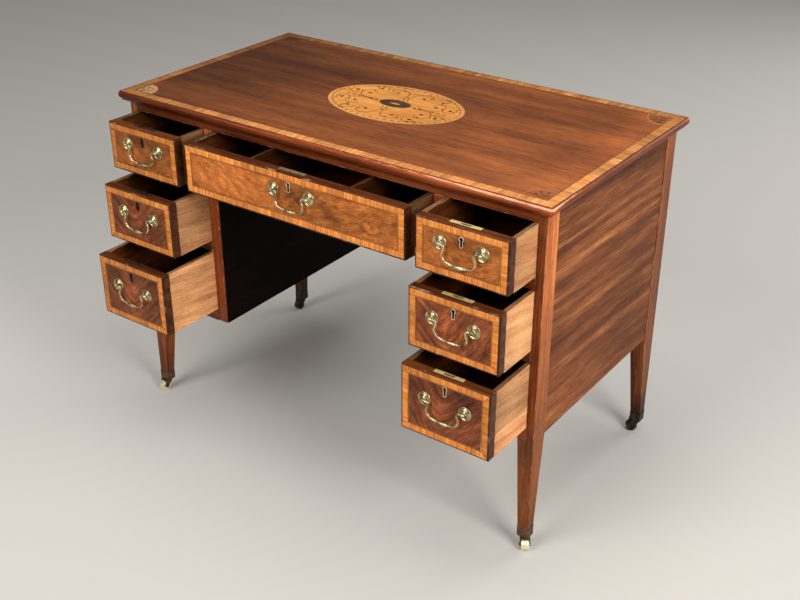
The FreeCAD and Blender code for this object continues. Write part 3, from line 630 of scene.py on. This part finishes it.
def leg(sign_x, sign_y, name):
    """A leg's stile and block. Below the taper's top, a point's distance from the front or the rear face, and
    on the block also from the seam, is scaled evenly down to the foot's share."""
    def tapered(points, width_share):
        down_leg = np.clip((taper_top - points[:, 2:]) / (taper_top - leg_foot), 0, 1)
        fixed = np.array([sign_x * seam_x, sign_y * leg_y])
        share = np.array([width_share, foot_depth / leg_depth])
        across = fixed + (points[:, :2] - fixed) * (1 - down_leg * (1 - share))
        return np.concatenate([across, points[:, 2:]], axis=1)

    # Painted light and shade: the outer side faces lighter towards the top, as lit from the right and above,
    # the other faces at 0.9; darker below 120 mm towards the foot; the rear legs at two thirds and darker
    # still at the foot, painted in the shade under the desk.
    def shaded(points):
        lit = np.interp(points[:, 2], [60, 250, 480, 740], [0.65, 1.05, 1.4, 2.4])
        outside = np.where(np.abs(points[:, 0]) > leg_x - 0.1, lit, 0.9)
        above_foot = np.clip((points[:, 2] - 60) / 60, 0, 1)
        return outside * (0.8 + 0.2 * above_foot if sign_y < 0 else 0.65 * (0.25 + 0.75 * above_foot))

    y = sorted((sign_y * leg_y, sign_y * (leg_y - leg_depth)))
    stile = side_board(sign_x, (seam_x, leg_x), y, (leg_foot, carcase_top), 2, 1.0, 2.5, tone=shaded,
                       cuts=[(2, z) for z in (80, 120, taper_top, 350, 480, 610)],
                       bend=lambda points: tapered(points, 1.0))
    block = side_board(sign_x, (seam_x - block_width, seam_x), y, (leg_foot, taper_top - 0.3), 2, 0.7, 2.5,
                       tone=shaded, cuts=[(2, 80), (2, 120)],
                       bend=lambda points: tapered(points, block_foot / block_width))
    piece("leg_" + name + "_post", [stile, block], mahogany, "desk", "mahogany", "leg_" + name)


corners = {"front_left": (-1, -1), "front_right": (1, -1), "rear_left": (-1, 1), "rear_right": (1, 1)}
for corner, (sign_x, sign_y) in corners.items():
    leg(sign_x, sign_y, corner)


# Castors. Square cast-brass cups 24 mm high pinned on the feet, with a swivelling horn and a turned brass
# wheel 24 mm across under each. Cups and horns have gone brown or black with age, and the front wheels are
# worn bright; the rear castors' black, wheels included, also paints the shade under the desk.

def brass(name, bright, dull, share, rough, metal=0.5, grit=9):
    """Cast and turned brass. A soft noise of the given grain size, cut at a share, lays dull brown patina
    over the bright metal, and roughness follows the patina."""
    material = blank(name)
    place = add(material, "TexCoord", output="Object")
    cloud = add(material, "TexNoise", {"Vector": place, "Scale": 1000 / grit, "Detail": 4.0,
                                       "Roughness": 0.6})
    speck = add(material, "TexNoise", {"Vector": place, "Scale": 1000 / 1.6, "Detail": 1.0})
    patina = add(material, "MapRange", {"Value": cloud, "From Min": share[0], "From Max": share[1]})
    colour = add(material, "Mix", {0: patina, 6: linear(bright), 7: linear(dull)}, 2, data_type="RGBA")
    matt = add(material, "MapRange", {"Value": patina, "To Min": rough[0], "To Max": rough[1]})
    bump = add(material, "Bump", {"Height": speck, "Strength": 0.04, "Distance": 0.1 * MM})
    return feed(material, Metallic=metal, Base_Color=colour, Roughness=matt, Normal=bump)


# Old cast brass never polished since: a black-brown skin, lighter in patches. On the rear castors and on the
# left drawers' keyhole linings, lock plates and bolts it also paints the shade they stand in.
aged_brass = brass("cast_brass_black_with_age_and_shade", "#5a4a34", "#2a221b", (0.34, 0.60), (0.42, 0.60), 0.8)
# Cast brass rubbed by feet and brooms: warm brown with a dull shine.
brown_brass = brass("cast_brass_brown_with_age", "#705438", "#42301f", (0.34, 0.66), (0.40, 0.55), 0.6)
# Brass worn by rolling: pale yellow with a few dull spots.
worn_brass = brass("brass_worn_by_rolling", "#f0e4c0", "#a8966a", (0.52, 0.80), (0.34, 0.48), 0.6)
cups = []
for sign_x, sign_y in corners.values():
    middle = np.array([sign_x * 509, sign_y * 256])
    for half, low, high, ease in (((12.8, 11.8), 28, 50.5, 1.2), ((13.2, 12.2), 49.6, 52, 1.1)):
        cups.append(board((*(middle - half), low), (*(middle + half), high), 2, ease))
piece("front_sockets", cups[:4], brown_brass, "desk", "aged_brass", "castor_cups")
piece("rear_sockets", cups[4:], aged_brass, "desk", "aged_brass")
# The front castors take the lighter brasses; the rear ones the black, as painted shade.
for corner in corners:
    front = corner.startswith("front")
    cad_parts["castor_" + corner + "_horn"].data.materials[0] = brown_brass if front else aged_brass
    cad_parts["castor_" + corner + "_wheel"].data.materials[0] = worn_brass if front else aged_brass


# Front frame. Rails of solid mahogany over and between the drawers, tenoned into the legs and into two
# posts that stand beside the kneehole; each rail over a drawer has a slot underneath for the lock's bolt.

frame_front, frame_rear = -267, -224
frame_y = (frame_front, frame_rear)
carcase_low, drawers_top = 262, 724
# The rail over the drawers is painted darker towards the left, as shade.
rails = [
    board((-seam_x, frame_front, drawers_top), (seam_x, frame_rear, carcase_top), 0,
          tone=lambda points: np.interp(points[:, 0], [-500, 200], [0.42, 0.9]),
          cuts=[(0, x) for x in (-300, -100, 100)]),
    board((-278.5, frame_front, 594), (278.5, frame_rear, 616), 0),
]
posts = []
for sign in (-1, 1):
    for z in ((590, 616), (437, 463), (carcase_low, 291)):
        rails.append(side_board(sign, (304.5, seam_x), frame_y, z, 0, tone=0.95))
    # Each post is painted lighter towards the top, as light falls more there.
    posts.append(side_board(
        sign, (279, 304.5), frame_y, (carcase_low, drawers_top), 2, 4, 5,
        tone=lambda points: np.interp(points[:, 2], [300, 560, 700], [0.85, 1.1, 1.5]),
        cuts=[(2, z) for z in (300, 430, 560)]))
# No slot is cut: a near-black block under each rail paints the shade inside the bolt's slot.
for x, z in [(x, z) for x in (-404, 404) for z in (724, 590, 437)] + [(0, 724)]:
    rails.append(board((x - 12.5, -256.5, z - 0.1), (x + 12.5, -247.5, z + 2), 0, 0.05, tone=0.03))
piece("frame_rails", rails, shade_red_mahogany, "desk", "mahogany", "front_rails")
piece("frame_posts", posts, shade_red_mahogany, "desk", "mahogany", "kneehole_posts")


# Panels. Two mahogany end panels set 1.5 mm back between the legs, plain panels beside the kneehole and
# across the back, and a thin bottom in each pedestal; all are glued and nailed into rebates.

def darkened(points):
    """The end panel's painted shade: deeper towards the back at half height and along the bottom, and a
    painted shadow under the top's edge."""
    y, z = points[:, 1], points[:, 2]
    shade = 1.08 - 0.42 * np.exp(-((y - 130) / 140) ** 2 - ((z - 500) / 130) ** 2)
    return shade - 0.15 * np.exp(-(z - 260) / 80) - 0.7 * np.exp(-(carcase_top - z) / 25)


# End panels: plain-sawn mahogany with long streaks, browner and a little duller than the top.
panel_mahogany = wood(
    "mahogany_panel_streaked",
    ((0.30, "#472411"), (0.44, "#6a3a1f"), (0.54, "#874e2c"), (0.70, "#bb7642")),
    streak=(600, 24), fibre=(70, 2.4), pore=(20, 1.4), worn="#c0905f", rough=(0.36, 0.48),
    streaks=0.6, wander=10, Specular_IOR_Level=0.06)
# Stained wood in the kneehole, painted near black for the shade in it, with little polish.
stained_and_shaded = wood(
    "stained_secondary_wood",
    ((0.30, "#0c0705"), (0.50, "#150c08"), (0.75, "#22150d")),
    streak=(700, 24), fibre=(120, 3.4), pore=(20, 1.4), worn="#6b4a33", rough=(0.45, 0.60),
    streaks=0.6, wander=10, Specular_IOR_Level=0.02)
# Inside of the carcase: sawn pine and cedar, unpolished, grey-brown with dust.
carcase_wood = wood(
    "carcase_wood_unpolished",
    ((0.30, "#5b4028"), (0.50, "#7b5a3a"), (0.75, "#987650")),
    streak=(600, 18), fibre=(100, 3.0), pore=(16, 1.4), worn="#987650", rough=(0.60, 0.75),
    streaks=0.6, wander=8, own_grain=False, Specular_IOR_Level=0.3)
carcase_z = (carcase_low, carcase_top)
shade_lines = [(1, y) for y in range(-170, 200, 50)]
shade_lines += [(2, z) for z in (*range(300, 690, 50), 700, 715, 725, 735)]
ends, knees = [], []
backs = [board((-278.5, 253, 594), (278.5, 265, carcase_top), 0, tone=0.75)]
for sign in (-1, 1):
    ends.append(side_board(sign, (seam_x, 519.5), (-224, 224), carcase_z, 1, 0.6, tilt=0.03, tone=darkened,
                           cuts=shade_lines))
    # The kneehole sides, and a thin sheet on each post's kneehole face, are near black: painted shade.
    knees.append(side_board(sign, (278.5, 292.5), (-224, 253), carcase_z, 1, 0.05, 0.1, tone=0.7))
    knees.append(side_board(sign, (278.5, 279), (frame_front + 4, frame_rear), (carcase_low, 616), 1,
                            0.05, 0.1, tone=0.7))
    backs.append(side_board(sign, (278.5, seam_x), (253, 265), carcase_z, 2, tone=0.75))
piece("side_panels", ends, panel_mahogany, "desk", "mahogany", "end_panels")
piece("knee_panels", knees, stained_and_shaded, "desk", "mahogany", "kneehole_panels")
piece("rear_panels", backs, panel_mahogany, "desk", "mahogany", "back_panels")
for node in ("pedestal_bottoms", "drawer_runners", "drawer_stops"):
    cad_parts[node].data.materials[0] = carcase_wood


# Drawers. Seven boxes of thin mahogany dovetailed into thick fronts. Each front is veneered with figured
# mahogany inside a crossbanding 12 mm wide and fine stringing, and edged with a small rounded bead.

def upright(middle, front, centre):
    """The plane of a drawer's front: u is X and v is Z, both from the front's middle."""
    return lambda u, v: np.stack([middle + u, np.full(np.shape(u), front), centre + v], axis=-1)


def edge_bead(middle, front, centre, half_u, half_v, radius=2.3):
    """The bead round a front: a quarter-round outline, (distance in, distance back), carried along each
    side with its ends cut to the mitre."""
    turn = np.radians(np.linspace(0, 90, 7))
    outline = np.stack([radius - radius * np.cos(turn), radius - radius * np.sin(turn)], 1)
    inward, back = np.concatenate([outline, radius * np.array([[1.5, 0], [1.5, 1.2], [0, 1.2]])]).T
    beads = []
    for reach, out, sign, order in sides(half_u, half_v):
        run = np.linspace(-1, 1, 9)[:, None] * (reach - inward)
        rise = np.broadcast_to(sign * (out - inward), run.shape)
        u, v = order(run, rise)
        rings = np.stack([middle + u, np.broadcast_to(front + back, run.shape), centre + v], axis=2)
        grain = np.stack([run, rise, rings[..., 1]], axis=2) + apart()
        # The top bead is painted lighter than the other three, as lit from above; on all four the edge value
        # lays pale patches of the worn colour, wear and painted highlight together.
        beads.append(lofted(rings, grain, 0.74, 0.2 if beads else 0.36))
    return beads


# From the middle of a keyhole's head down to the middle of the whole hole.
hole_drop = 5


def keyhole(grow, count=60):
    """A keyhole's outline as (u, v) from its head's middle: round the head from waist to waist, then down
    the slot, round its foot and up again."""
    head, slot, foot = 3.6 + grow, 2.3 + grow, -13.4
    waist = np.arcsin(-np.sqrt(head ** 2 - slot ** 2) / head)
    top = np.linspace(waist, np.pi - waist, count)
    base = np.linspace(np.pi, 2 * np.pi, count)
    upper = np.stack([head * np.cos(top), head * np.sin(top)], 1)
    lower = np.stack([slot * np.cos(base), foot + slot * np.sin(base)], 1)
    return np.concatenate([upper, lower, upper[:1]])


def field(plane, half_u, half_v, key_v, push, figure, stains):
    """The figured veneer, as rings of points between the keyhole and the border. Its fibres branch from a
    spine like the barbs of a feather: a point's height on its barb is its own height less the rise of
    the barbs at its distance from the spine, and noise drawn out along the barbs gives the figure.
    Stains are soft ovals, (u, v, half width, half height), lighter or darker by a depth; some are ringed
    like a knot."""
    spine, lean, rise, glow, cloud, shade = figure
    start_v = key_v - hole_drop
    hole = keyhole(1.3) + [0, hole_drop]
    above, below = half_v - start_v, -half_v - start_v
    corner = np.arctan2([above, above, below, below], [half_u, -half_u, -half_u, half_u])
    angle = np.unique(np.concatenate([np.linspace(-np.pi, np.pi, 161), corner]))
    inner = np.interp(angle, np.arctan2(hole[:, 1], hole[:, 0]), np.hypot(hole[:, 0], hole[:, 1]),
                      period=2 * np.pi)
    way = np.stack([np.cos(angle), np.sin(angle)], 1)
    edge_u = half_u / np.maximum(np.abs(way[:, 0]), 1e-9)
    edge_v = (half_v - np.sign(way[:, 1]) * start_v) / np.maximum(np.abs(way[:, 1]), 1e-9)
    reach = inner + np.linspace(0, 1, 44)[:, None] * (np.minimum(edge_u, edge_v) - inner)
    u, v = reach * way[:, 0], start_v + reach * way[:, 1]
    off = u - spine - lean * v
    soft = np.sqrt(off ** 2 + 12 ** 2) - 12
    barb = v - rise * soft * (1 - soft / (450 + 2 * half_u))
    grain = np.stack([1.3 * off, barb, 0.15 * np.abs(off)], axis=2) + apart()
    bright = 1 + glow * np.exp(-(off / (0.5 * half_v)) ** 2 - (v / half_v + 0.15) ** 2 / 0.35)
    bright -= 0.3 * glow * np.clip(v / half_v, 0, 1) * np.clip(np.abs(off) / half_v, 0, 1)
    for size, amount in ((60, 0.10), (28, 0.08)):
        phase = chance.uniform(0, 6.3, 4)
        bright += cloud * amount * np.sin(u * 6.3 / size + 1.5 * np.sin(v * 5 / size + phase[0]) + phase[1])
        bright += cloud * amount * np.sin(v * 6.3 / size + 1.5 * np.sin(u * 5 / size + phase[2]) + phase[3])
    for stain_u, stain_v, wide, high, depth, *rings in stains:
        away = np.hypot((u - stain_u) / wide, (v - stain_v) / high)
        bright += depth * np.exp(-away ** 2) * np.cos(2 * np.pi * sum(rings) * away)
    bright = shade * np.tile(np.maximum(bright, 0.2).ravel(), 2)
    return sheet(plane(u, v), push, grain, tone=bright, ring=True)


# Flame mahogany veneer, French polished: dark feathered bars on red-gold, broken like fur.
flame = wood(
    "mahogany_flame_veneer",
    ((0.26, "#2e130c"), (0.42, "#592a16"), (0.56, "#814424"), (0.78, "#b06633")),
    streak=(60, 13), fibre=(30, 2.0), pore=(12, 1.2), worn="#b57a4e", rough=(0.34, 0.46),
    streaks=0.55, wander=32, Coat_Weight=0.06, Coat_Roughness=0.16, Specular_IOR_Level=0.12)
# Mottled mahogany veneer, French polished: golden brown, curled like fine fur, with soft dark clouds.
mottled = wood(
    "mahogany_mottled_veneer",
    ((0.26, "#643010"), (0.43, "#8f4d1e"), (0.56, "#a86029"), (0.78, "#c98440")),
    streak=(30, 8), fibre=(16, 2.0), pore=(10, 1.2), worn="#b57a4e", rough=(0.34, 0.46),
    wander=14, pitting=0.3, Coat_Weight=0.06, Coat_Roughness=0.16, Specular_IOR_Level=0.12)
# Drawer linings: thin quarter-sawn mahogany, bare inside and out, tan to straw; each board's shade also
# darkens it where painted shade falls.
lining = wood(
    "drawer_lining_bare_mahogany",
    ((0.28, "#976038"), (0.45, "#bd8051"), (0.56, "#d09765"), (0.76, "#e4b482")),
    streak=(350, 14), fibre=(50, 1.8), pore=(8, 1.4), worn="#dcb287", rough=(0.55, 0.70),
    streaks=0.58, wander=7, pitting=0.3, Specular_IOR_Level=0.2)
# Name: middle and half width in X, bottom and top in Z, front's plane in Y; the figure's spine, lean, rise of
# the barbs, glow, cloud and shade; its stains; the banding's shade; and the sides as boards, each from a
# share of its height with a shade of its own. The shades are partly each drawer's own tone and partly painted
# light: lower on the left drawers, where less light falls, and on the sides that stand in shade.
drawers = {
    "left_top": (
        -404, 98.5, 617, 723, -349, (10, 0.3, 0.5, 0.15, 0.8, 0.8),
        ((0, 26, 90, 16, -0.45), (-40, -10, 30, 20, 0.15)), 0.75, ((0, 0.5),)),
    "left_middle": (
        -404, 98.5, 464, 589, -381, (-14, -0.2, 1.1, 0.3, 0.7, 1.12),
        ((-55, 30, 30, 20, -0.3), (55, -25, 25, 25, -0.3), (0, -30, 30, 14, 0.2)), 0.85, ((0, 1.0),)),
    "left_bottom": (
        -404, 98.5, 292, 436, -421, (0, 0.1, 1.3, 0.5, 0.6, 1.02),
        ((-50, 35, 35, 25, -0.25), (55, 30, 25, 30, -0.3), (0, -20, 24, 30, 0.2)), 0.8, ((0, 1.45),)),
    "right_top": (
        404, 98.5, 617, 723, -361, (18, 0.4, 0.5, 0.15, 0.8, 1.06),
        ((10, 22, 50, 16, -0.4), (-55, -18, 30, 20, 0.25), (50, -22, 30, 12, 0.15)), 0.98, ((0, 1.05),)),
    "right_middle": (
        404, 98.5, 464, 589, -381, (-30, -0.3, 1.3, 0.3, 0.8, 1.38),
        ((-60, 20, 16, 35, -0.25), (50, -25, 30, 20, -0.35), (40, 35, 25, 15, -0.2)), 0.94, ((0, 1.3),)),
    "right_bottom": (
        404, 98.5, 292, 436, -403, (-8, 0.15, 1.4, 0.6, 0.6, 1.02),
        ((-50, 30, 30, 25, -0.25), (38, 30, 30, 30, -0.42), (0, -15, 30, 25, 0.2)), 0.95,
        ((0, 1.4), (0.34, 0.86))),
    "centre": (
        0, 277.5, 617, 723, -351, (-70, 0.2, 0.35, 0.1, 0.8, 1.16),
        ((-160, 5, 90, 50, 0.25), (5, 10, 45, 26, -0.5), (105, -12, 34, 16, -0.5), (60, 15, 60, 20, -0.2),
         (200, -8, 34, 18, -0.6, 1.4)), 1.07, ((0, 0.34),)),
}
back = np.array([0, veneer, 0])
front_thick, box_length, side_thick, bottom_top, key_drop = 20, 490, 9, 14, 23
for name, (middle, half_u, low, high, front, figure, stains, band_shade, side_boards) in drawers.items():
    body = "drawer_" + name
    centre, half_v = (low + high) / 2, (high - low) / 2
    rear, end = front + front_thick, front + box_length
    key_v = half_v - key_drop
    face = upright(middle, front, centre)

    # The front's core stands 1 mm back behind the veneers. Its ends, underside and back are painted dark as
    # shade, its top edge a little less, and a near-black sheet behind the keyhole paints the shadow in the
    # hole.
    core_low = (middle - half_u + 0.1, front + 1.0, low)
    core_high = (middle + half_u - 0.1, rear, high - 0.3)
    core = [board(core_low, core_high, 0, 0.6, 0.8,
                  tone=lambda points: np.where(points[:, 2] > high - 0.5, 0.42, 0.25))]
    core += edge_bead(middle, front, centre, half_u, half_v)
    dark = np.linspace(0, 1, 4)[:, None, None] * (keyhole(0.1) + [0, hole_drop]) + [0, key_v - hole_drop]
    dark = upright(middle, front + 0.95, centre)(dark[..., 0], dark[..., 1])
    core.append(sheet(dark, back, dark, tone=0.01, ring=True))
    piece(body + "_core", core, mahogany, body, "mahogany", body + "_front")

    # From the bead inwards: the banding, a black line, a satinwood line, a black line, and the field.
    bands = banding(face, half_u - 3.45, half_v - 3.45, 12.15, 45, back, band_shade, 0.1)
    bands += string_frame(face, half_u - 16.6, half_v - 16.6, 1.1, back, 0.95 * band_shade)
    piece(body + "_band", bands, satinwood, body, "satinwood")
    strings = []
    for inset in (15.6, 17.7):
        strings += string_frame(face, half_u - inset, half_v - inset, 1.0, back, ebony)
    piece(body + "_stringing", strings, stringing, body, "satinwood")
    piece(body + "_field", [field(face, half_u - 18.7, half_v - 18.7, key_v, back, figure, stains)],
          flame if low < 600 else mottled, body, "mahogany_flame")

    # Sides with their dovetails, back, bottom and, in the wide drawer, two partitions. The back, the bottom,
    # the
    # partitions and a thin skin on each side's inner face are dark mahogany at a sixth to two fifths of its
    # tone:
    # painted shade inside the box.
    side_low, side_high, inner_u = low - 0.8, high - 1, half_u - side_thick
    tails = max(2, round((side_high - side_low) / 33))
    pitch = (side_high - side_low) / tails
    half_tail, tail_front = 0.36 * pitch, front + 6
    shares = [share for share, _ in side_boards] + [1.0]
    parts, insides = [], []
    for sign in (-1, 1):
        for k, (_, shade) in enumerate(side_boards):
            z = side_low + np.array(shares[k:k + 2]) * (side_high - side_low)

            # A side's shade: darker over the first 55 mm behind the front and along the top edge; its inner
            # face at 0.14, painted shade for the dark inside of the box.
            def side_shade(points):
                front_darkening = 0.72 + 0.28 * np.clip((points[:, 1] - rear) / 55, 0, 1) ** 0.7
                inside = np.abs(points[:, 0] - middle) < inner_u + 0.1
                upper = points[:, 2] > side_high - 0.1
                return shade * front_darkening * np.where(inside, 0.14, np.where(upper, 0.4, 1.0))

            parts.append(side_board(sign, (inner_u, half_u), (rear, end), z, 1, 0.4, 1.2, middle=middle,
                                    tone=side_shade, tilt=0.12,
                                    cuts=[(1, rear + reach) for reach in (12, 25, 40, 55)]))
        for mid in side_low + (np.arange(tails) + 0.5) * pitch:

            def flared(points):
                made = points.copy()
                made[:, 2] = mid + (points[:, 2] - mid) * (1 - (points[:, 1] - tail_front) / (7 * half_tail))
                return made

            insides.append(side_board(sign, (inner_u, half_u), (tail_front, rear + 0.5),
                                      (mid - half_tail, mid + half_tail), 1, 0.1, 0.1, middle=middle,
                                      tone=0.34, bend=flared))
        insides.append(side_board(sign, (inner_u - 0.5, inner_u), (rear, end),
                                  (low + bottom_top, side_high - 0.5), 1, 0.1, middle=middle, tone=0.38))
    left, right = middle - inner_u, middle + inner_u
    insides.append(board((left, end - 8, low + bottom_top), (right, end, high - 5), 0, 0.4, tone=0.4))
    insides.append(board((left - 3, rear - 3, low + 8), (right + 3, end, low + bottom_top), 0, 0.3,
                         tone=0.25))
    if name == "centre":
        for x in (-114, 138):
            insides.append(board((x - 4, rear, low + bottom_top), (x + 4, end - 8, high - 2), 1, 0.4, 0.8,
                                 tone=lambda points: np.where(points[:, 2] > high - 2.1, 0.3, 0.16)))
    piece(body + "_insides", insides, mahogany, body, "drawer_lining")
    piece(body + "_linings", parts, lining, body, "drawer_lining", body + "_box")


# Drawer hardware. On each front, a swan-neck bail of cast brass hangs from two posts with ball heads that
# pass through turned rosettes and are held by nuts; a brass lock is let into the top edge over a keyhole.

def turned(profile, place, around=40):
    """A shape turned about the Y axis: a circle for each (radius, distance in front of the place)."""
    radius, out = np.array(profile, float).T[..., None]
    angle = np.linspace(0, 2 * np.pi, around, endpoint=False)
    rings = np.stack([place[0] + radius * np.cos(angle), np.broadcast_to(place[1] - out, (len(out), around)),
                      place[2] + radius * np.sin(angle)], axis=2)
    return lofted(rings, rings)


def bail_path():
    """The bail's centre line in the plane of X and Z and its radius: half a grip, a corner, a neck, a
    shoulder and a pin as tangent arcs, mirrored. Each arc's centre lies in line with the next one's through
    the point where they meet. An olive knop between two collars swells the grip's middle."""
    shoulder, neck, corner, turn, sweep = 4.0, 20.0, 14.0, np.radians(25), np.radians(75)
    shoulder_at = np.array([36.0, -shoulder])
    neck_at = shoulder_at + [neck - shoulder, 0]
    corner_at = neck_at - (neck + corner) * np.array([np.cos(turn), np.sin(turn)])
    foot = corner_at + corner * np.array([np.cos(sweep), -np.sin(sweep)])
    grip = foot[0] / np.cos(sweep)
    grip_at = foot + grip * np.array([-np.cos(sweep), np.sin(sweep)])
    arcs = ((grip_at, grip, -np.pi / 2, -sweep, 34), (corner_at, corner, -sweep, turn, 18),
            (neck_at, neck, np.pi + turn, np.pi, 8), (shoulder_at, shoulder, np.pi, np.pi / 2, 9))
    half = []
    for centre, radius, start, end, count in arcs:
        angle = np.linspace(start, end, count)
        half.append(centre + radius * np.stack([np.cos(angle), np.sin(angle)], 1)[:-1])
    half = np.concatenate(half + [[[36, 0], [40, 0], [45, 0]]])
    path = np.concatenate([half[:0:-1] * (-1, 1), half])
    x = np.abs(path[:, 0])
    knop = 2.1 * np.cos(np.pi / 2 * np.clip(x / 13, 0, 1)) ** 1.2
    collar = 0.7 * np.exp(-((x - 14) / 0.9) ** 2)
    return path, 2.35 + 0.2 * np.exp(-((x - 33) / 3) ** 2) + (path[:, 1] < -20) * (knop + collar)


def swept_bail(place, around=14):
    """The bail as circles about its centre line. The line is flat, so each circle lies in the plane of Y
    and the line's own normal."""
    path, thick = bail_path()
    along = np.gradient(path, axis=0)
    along /= np.linalg.norm(along, axis=1)[:, None]
    angle = np.linspace(0, 2 * np.pi, around, endpoint=False)
    aside = thick[:, None] * np.cos(angle)
    rings = np.stack([place[0] + path[:, :1] - along[:, 1:] * aside,
                      place[1] + thick[:, None] * np.sin(angle),
                      place[2] + path[:, 1:] + along[:, :1] * aside], axis=2)
    return lofted(rings, rings)


# A rosette with its post and ball head, as (radius, distance out): a rolled rim, a groove, a ring, a second
# groove, the neck, and the ball round to its front.
rosette = [(14.5, 0.0), (14.5, 0.6), (14.3, 1.2), (13.7, 1.6), (13.0, 1.5), (12.4, 0.9), (11.9, 0.4),
           (11.2, 0.3), (10.4, 0.7), (9.5, 1.5), (8.7, 2.2), (8.0, 2.6), (7.4, 2.5), (6.9, 1.9), (6.4, 1.6),
           (5.8, 2.0), (5.0, 2.9), (4.4, 3.5), (3.9, 3.9), (3.5, 4.3), (3.4, 4.8)]
ball = np.radians(np.linspace(49, 178, 14))
rosette += list(zip(4.5 * np.sin(ball), 8 - 4.5 * np.cos(ball)))
# Lacquered brass gone dull: pale greenish gold with brown in patches.
handle_brass = brass("lacquered_brass_gone_dull", "#d0be92", "#5e4e2e", (0.40, 0.70), (0.30, 0.45), 1.0, 16)
# Lock plates on the right drawers: flat rolled brass, scratched, and painted paler as in the light: a pale
# even yellow.
lit_plate_brass = brass("rolled_brass_scratched_and_lit_pale", "#efd68c", "#c4a458", (0.42, 0.70), (0.44, 0.58))
# Keyhole linings rubbed by the key: a dull pinkish gold.
rim_brass = brass("brass_lining_rubbed", "#d8bea0", "#9c8064", (0.42, 0.70), (0.44, 0.58))
# Lock plate of the centre drawer and the bolts: tarnished, and painted grey-brown as in shade.
shaded_dull_brass = brass("rolled_brass_tarnished_and_shaded", "#93805a", "#5d4c34", (0.40, 0.70), (0.48, 0.60))
for name, (middle, _, low, high, front, *_) in drawers.items():
    body = "drawer_" + name
    rear, key_z, lock_foot = front + front_thick, high - key_drop, high - 44
    handle_x, handle_z = middle + (6 if name == "centre" else 0), (low + high) / 2 + 13
    metal = []
    for x in (handle_x - 45, handle_x + 45):
        metal.append(turned(rosette, (x, front, handle_z)))
        metal.append(board((x - 5, rear, handle_z - 5), (x + 5, rear + 3.5, handle_z + 5), 0, 0.6))
        metal.append(turned([(2.4, 3.5), (2.4, 1.0), (1.8, 0.0)], (x, rear + 7, handle_z), 16))

    # The lock: a top plate in four strips round the bolt, a case behind the front, and two screw heads.
    plates = []
    for x, y in (((-33, -11.2), (-10, 0)), ((11.2, 33), (-10, 0)), ((-11.4, 11.4), (-10, -8.2)),
                 ((-11.4, 11.4), (-1.8, 0))):
        plates.append(board((middle + x[0], rear + y[0], high - 2),
                            (middle + x[1], rear + y[1], high - 0.1), 0, 0.2))
    metal.append(board((middle - 28, rear - 1.5, lock_foot), (middle + 28, rear + 0.1, high - 2), 0, 0.3))
    for x in (middle - 24, middle + 24):
        metal.append(turned([(2.6, 0.0), (2.6, 0.3), (2.2, 0.5)], (x, rear + 0.3, lock_foot + 20), 20))
    rims = np.stack([keyhole(0.1), keyhole(1.6)])
    rims = upright(middle, front - 0.3, key_z)(rims[..., 0], rims[..., 1])
    rim = sheet(rims, np.array([0, 1.3, 0]), rims, ring=True)
    # The left drawers' keyhole linings, lock plates and bolts take the black aged brass as painted shade.
    on_left = "left" in name
    piece(body + "_keyhole_rim", [rim], aged_brass if on_left else rim_brass, body, "brass")
    plate_metal = aged_brass if on_left else lit_plate_brass if "right" in name else shaded_dull_brass
    piece(body + "_lock_plates", plates, plate_metal, body, "brass")
    piece(body + "_hardware", metal, handle_brass, body, "brass", body + "_fittings")
    piece(body + "_swan_neck", [swept_bail((handle_x, front - 8, handle_z))], handle_brass, body + "_bail",
          "brass", body + "_bail")
    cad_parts[body + "_bolt"].data.materials[0] = aged_brass if on_left else shaded_dull_brass


# Studio, in metres. A plain pale floor, large soft lights from the front on the left, the right, overhead and
# behind; the camera stands where the photo's did, as found from the desk's corners.

floor = bpy.data.objects.new("floor", bpy.data.meshes.new("floor"))
floor.data.from_pydata([(-15, -15, 0), (15, -15, 0), (15, 15, 0), (-15, 15, 0)], [], [(0, 1, 2, 3)])
bpy.context.scene.collection.objects.link(floor)
# Painted floor: plain pale grey, nearly matt.
pale = feed(blank("studio_floor_pale_grey"), Base_Color=linear("#bfbbb4"), Roughness=0.85)
floor.data.materials.append(pale)
floor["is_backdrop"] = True

world = bpy.data.worlds.new("studio")
bpy.context.scene.world = world
world.use_nodes = True
up = add(world, "SeparateXYZ", {0: add(world, "TexCoord", output="Generated")}, "Z")
sky = add(world, "ValToRGB", {"Fac": up}, stops=((0.0, "#38383a"), (0.45, "#585858"), (0.75, "#f4f4f4")))
room = world.node_tree.nodes["Background"]
put(world.node_tree, room.inputs["Color"], sky)
put(world.node_tree, room.inputs["Strength"], 0.5)

for name, place, size, power in (("key", (-0.7, -3.2, 2.6), 2.0, 98), ("right", (3.4, -1.2, 2.2), 1.6, 125),
                                 ("over", (0.3, 0.1, 3.6), 2.2, 40), ("rear", (1.6, 3.6, 1.7), 2.0, 45)):
    lamp = bpy.data.lights.new(name, "AREA")
    lamp.size, lamp.energy = size, power
    made = bpy.data.objects.new(name, lamp)
    bpy.context.scene.collection.objects.link(made)
    made.location = place
    made.rotation_euler = (Vector((0, 0, 0.45)) - Vector(place)).to_track_quat("-Z", "Y").to_euler()

camera = bpy.data.objects.new("camera", bpy.data.cameras.new("camera"))
bpy.context.scene.collection.objects.link(camera)
camera.location = (1.3972, -1.9186, 1.5791)
camera.rotation_euler = Vector((-0.51469, 0.71307, -0.47605)).to_track_quat("-Z", "Y").to_euler()
camera.data.sensor_width, camera.data.lens = 36.0, 52.85
bpy.context.scene.camera = camera
bpy.context.scene.view_settings.view_transform = "Standard"

low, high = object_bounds()
